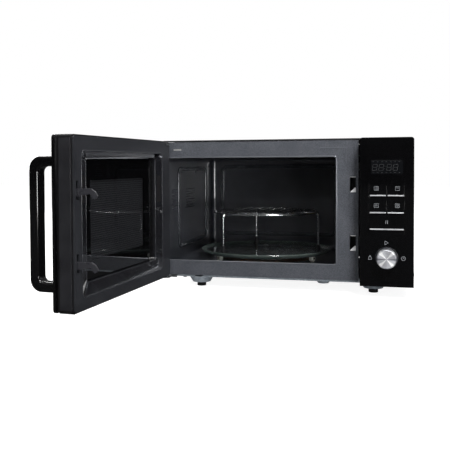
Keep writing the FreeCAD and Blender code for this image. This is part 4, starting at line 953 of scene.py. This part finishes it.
def key_sign(node, x, z, front):
    """The small sign over each bar."""
    w, h = 7.4 * MM, 7.0 * MM
    if node == "key_stop":
        return [stroke((x + k * 1.5 * MM, z - 3.2 * MM), (x + k * 1.5 * MM, z + 3.2 * MM), 1.1 * MM, front)
                for k in (-1, 1)]
    marks = outline_box(x, z, w, h, SIGN_W, front)
    if node in ("key_microwave", "key_combination"):
        for k in (-1, 0, 1):
            zz = z + k * 2.0 * MM
            marks += [stroke((x - 2.6 * MM, zz - 0.4 * MM), (x, zz + 0.5 * MM), SIGN_FINE, front),
                      stroke((x, zz + 0.5 * MM), (x + 2.6 * MM, zz - 0.4 * MM), SIGN_FINE, front)]
    if node in ("key_grill", "key_combination"):
        for k in (-1, 0, 1):
            marks.append(stroke((x + k * 2.0 * MM, z - 0.4 * MM), (x + k * 2.0 * MM, z + 2.6 * MM),
                                SIGN_FINE, front))
    if node == "key_defrost":
        for k in range(3):
            a = math.pi * k / 3
            dx, dz = 2.8 * MM * math.cos(a), 2.8 * MM * math.sin(a)
            marks.append(stroke((x - dx, z - dz), (x + dx, z + dz), SIGN_FINE, front))
    return marks


def keys():
    """A foil bar and a printed sign on every key."""
    for node in KEY_NODES:
        lo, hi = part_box(node)
        left, right = lo.x + 0.45 * MM, hi.x - 0.45 * MM      # the cap, inside its flange
        low, high = lo.z + 1.2 * MM, hi.z - 1.2 * MM
        cap_y = PANEL_Y - 0.3 * MM
        bar = block((left + 0.8 * MM, cap_y - 0.6 * MM, low + 2.8 * MM),
                    (right - 0.8 * MM, cap_y + 0.3 * MM, low + 5.2 * MM), corner=1.1 * MM, edge=0.25 * MM)
        finish(bar, node + "_bar", BODY_OF[node], SILVER_FOIL)
        sign = joined(key_sign(node, (left + right) / 2 + SIGN_SHIFT.get(node, 0.0) * MM,
                               high - 7.6 * MM, cap_y - PRINT_T))
        finish(sign, node + "_sign", BODY_OF[node], SIGN_INK)


keys()


def display():
    """Smoked lens with four unlit digits, their colon and two rows of small marks."""
    lo = (DISPLAY_LO.x + 3 * MM, PANEL_Y - PRINT_T, DISPLAY_LO.z + 3 * MM)
    hi = (DISPLAY_HI.x - 3 * MM, PANEL_Y + 0.3 * MM, DISPLAY_HI.z - 3 * MM)
    lens = block(lo, hi, corner=1.0 * MM, edge=0.08 * MM, edge_steps=1)
    finish(lens, "display_lens", "oven", LENS)
    front = PANEL_Y - 2 * PRINT_T
    marks = []
    digit_w, digit_h, step, slant = 7.6 * MM, 11.0 * MM, 11.2 * MM, 0.14
    z0 = (lo[2] + hi[2]) / 2 - digit_h / 2 - 0.6 * MM
    x0 = lo[0] + 2.0 * MM
    for k in range(4):
        x = x0 + k * step + (2.6 * MM if k > 1 else 0.0)
        a, b, c = z0, z0 + digit_h / 2, z0 + digit_h
        gap = 0.5 * MM
        for p, q in (((x, a), (x + digit_w, a)), ((x, b), (x + digit_w, b)), ((x, c), (x + digit_w, c)),
                     ((x, a), (x, b)), ((x + digit_w, a), (x + digit_w, b)), ((x, b), (x, c)),
                     ((x + digit_w, b), (x + digit_w, c))):
            (px, pz), (qx, qz) = p, q
            px, qx = px + (pz - z0) * slant, qx + (qz - z0) * slant
            run = Vector((qx - px, qz - pz)).normalized() * gap
            marks.append(stroke((px + run.x, pz + run.y), (qx - run.x, qz - run.y), 1.1 * MM, front))
    colon_x = x0 + 2 * step - 0.8 * MM
    marks += [disc(colon_x + 0.4 * MM, z0 + 0.3 * digit_h, 0.8 * MM, front),
              disc(colon_x + 0.8 * MM, z0 + 0.7 * digit_h, 0.8 * MM, front)]
    for row in (lo[2] + 2.4 * MM, hi[2] - 2.6 * MM):
        for k in range(7):
            x = lo[0] + (4.0 + 7.6 * k) * MM
            marks.append(stroke((x - 1.2 * MM, row), (x + 1.2 * MM, row), 1.1 * MM, front))
    finish(joined(marks), "display_segments", "oven", SEGMENT)


display()


SIGN_REACH = 29.3 * MM      # from the dial's middle to a sign beside it


def dial_signs():
    """Start triangle over the dial, a weight at its left and a clock at its right."""
    front = PANEL_Y - PRINT_T
    dial_x, dial_z = (KNOB_LO.x + KNOB_HI.x) / 2, (KNOB_LO.z + KNOB_HI.z) / 2

    def points(x, z, *offsets):
        return [(x + dx * MM, z + dz * MM) for dx, dz in offsets]

    marks = closed_line(points(dial_x - 1.6 * MM, dial_z + 27.6 * MM, (-1.5, -3.6), (4.6, 0), (-1.5, 3.6)),
                        0.75 * MM, front)
    x, z = dial_x - SIGN_REACH, dial_z
    marks += closed_line(points(x, z, (-3, -3), (3, -3), (2, 1.6), (-2, 1.6)), 0.8 * MM, front)
    marks.append(disc(x, z + 2.9 * MM, 1.3 * MM, front))
    x = dial_x + SIGN_REACH
    turns = [2 * math.pi * k / 12 for k in range(12)]
    marks += closed_line(points(x, z, *((3.6 * math.cos(a), 3.6 * math.sin(a)) for a in turns)), 0.75 * MM,
                         front)
    marks += [stroke((x, z), (x, z + 2.4 * MM), 0.7 * MM, front),
              stroke((x, z), (x + 1.7 * MM, z), 0.7 * MM, front)]
    finish(joined(marks), "dial_signs", "oven", SIGN_INK)


dial_signs()

# ---- floor, light and camera ----
FLOOR_SIZE, FLOOR_GLOW, FLOOR_IN_GLOSS = 12, 0.9, 0.04
SKY_SEEN, SKY_FILL, SKY_GLOSS_LOW, SKY_GLOSS_HIGH = 1.0, 0.36, 0.008, 0.3


def ray_kinds(owner):
    """Whether a ray comes from the eye, and whether gloss or glass sent it."""
    ray = add(owner, "LightPath")
    bent = add(owner, "Math", {"operation": "MAXIMUM"},
               {0: ray.outputs["Is Glossy Ray"], 1: ray.outputs["Is Transmission Ray"]})
    return ray.outputs["Is Camera Ray"], bent.outputs[0]


def white_floor_paint():
    """Matt white floor, lit flat so only a trace of shadow shows, and kept out of the gloss."""
    mat = bpy.data.materials.new("matt_white_floor")
    mat.use_nodes = True
    mat.node_tree.nodes.clear()
    eye_ray, bent_ray = ray_kinds(mat)
    matt = add(mat, "BsdfDiffuse", {"Color": (0.42, 0.42, 0.42, 1)})
    glow = add(mat, "Emission", {"Color": (1, 1, 1, 1), "Strength": FLOOR_GLOW})
    seen = add(mat, "AddShader", links={0: matt.outputs[0], 1: glow.outputs[0]})
    bounced = add(mat, "BsdfDiffuse", {"Color": (0.5, 0.5, 0.5, 1)})
    dim = add(mat, "Emission", {"Color": (1, 1, 1, 1), "Strength": FLOOR_IN_GLOSS})
    not_seen = add(mat, "MixShader", links={0: bent_ray, 1: bounced.outputs[0],
                                            2: dim.outputs[0]})
    whole = add(mat, "MixShader", links={0: eye_ray, 1: not_seen.outputs[0],
                                         2: seen.outputs[0]})
    add(mat, "OutputMaterial", links={"Surface": whole.outputs[0]})
    return mat


bpy.ops.mesh.primitive_plane_add(size=FLOOR_SIZE, location=(0, 0, 0))
floor = bpy.context.object
floor.name = "studio_floor"
settle(floor)
floor.data.materials.append(white_floor_paint())


def studio_air():
    """White to the eye, soft white fill on matt surfaces, dusk in gloss and glass so blacks stay black."""
    world = bpy.data.worlds.new("studio")
    bpy.context.scene.world = world
    world.use_nodes = True
    world.node_tree.nodes.clear()
    eye_ray, bent_ray = ray_kinds(world)
    way = add(world, "TexCoord")
    rise = add(world, "SeparateXYZ", links={0: way.outputs["Generated"]})
    glow = add(world, "MapRange", {"From Min": 0.0, "From Max": 0.9, "To Min": SKY_GLOSS_LOW,
                                   "To Max": SKY_GLOSS_HIGH}, {"Value": rise.outputs["Z"]})
    in_gloss = add(world, "Background", links={"Strength": glow.outputs["Result"]})
    fill = add(world, "Background", {"Strength": SKY_FILL})
    seen = add(world, "Background", {"Strength": SKY_SEEN})
    for shader in (in_gloss, fill, seen):
        shader.inputs["Color"].default_value = (1, 1, 1, 1)
    lit = add(world, "MixShader", links={0: bent_ray, 1: fill.outputs[0], 2: in_gloss.outputs[0]})
    whole = add(world, "MixShader", links={0: eye_ray, 1: lit.outputs[0],
                                           2: seen.outputs[0]})
    add(world, "OutputWorld", links={"Surface": whole.outputs[0]})


studio_air()
bpy.context.scene.view_settings.view_transform = "Standard"


def softbox(name, place, target, width, height, power):
    """A soft rectangular lamp aimed at a point."""
    light = bpy.data.lights.new(name, "AREA")
    light.shape, light.size, light.size_y, light.energy = "RECTANGLE", width, height, power
    lamp = bpy.data.objects.new(name, light)
    bpy.context.collection.objects.link(lamp)
    place, target = Vector(place), Vector(target)
    lamp.matrix_world = Matrix.Translation(place) @ (target - place).to_track_quat("-Z",
                                                                                   "Y").to_matrix().to_4x4()


softbox("key_softbox", (0.95, -1.9, 2.1), (0.0, 0.0, 0.15), 0.7, 0.7, 64)
softbox("low_right_softbox", (1.3, -2.2, 0.12), (0.0, -0.2, 0.08), 0.9, 0.2, 7.5)
softbox("high_left_softbox", (-0.61, -2.28, 0.85), (0.0, -0.1, 0.15), 0.2, 0.2, 2.5)
softbox("strip_softbox", (0.66, -1.7, 0.45), (-0.05, 0.0, 0.13), 0.06, 0.9, 3.4)
softbox("top_softbox", (0.1, 0.2, 2.2), (0.0, 0.0, 0.1), 2.0, 1.6, 36)
softbox("back_softbox", (-0.7, 2.3, 0.8), (0.0, 0.1, 0.15), 1.2, 1.0, 34)
softbox("back_left_softbox", (-1.9, 1.3, 0.8), (0.0, 0.1, 0.15), 1.2, 1.2, 44)

SENSOR, PICTURE = 36.0, 450
YAW, PITCH, ROLL = math.radians(-14.80), math.radians(-1.69), math.radians(-0.30)
eye = Vector((206.34, -1510.7, 244.4)) * MM
ahead = Vector((math.sin(YAW) * math.cos(PITCH), math.cos(YAW) * math.cos(PITCH), math.sin(PITCH)))
right = Vector((math.cos(YAW), -math.sin(YAW), 0))
up = right.cross(ahead)
right, up = (right * math.cos(ROLL) + up * math.sin(ROLL)), (up * math.cos(ROLL) - right * math.sin(ROLL))
lens = bpy.data.cameras.new("camera")
camera = bpy.data.objects.new("camera", lens)
bpy.context.collection.objects.link(camera)
turn = Matrix((right, up, -ahead)).transposed().to_4x4()
camera.matrix_world = Matrix.Translation(eye) @ turn
lens.sensor_width = SENSOR
lens.lens = SENSOR * 696.35 / PICTURE
lens.shift_x = (PICTURE / 2 - 209.34) / PICTURE
lens.shift_y = (185.41 - PICTURE / 2) / PICTURE
lens.clip_end = 50
bpy.context.scene.camera = camera
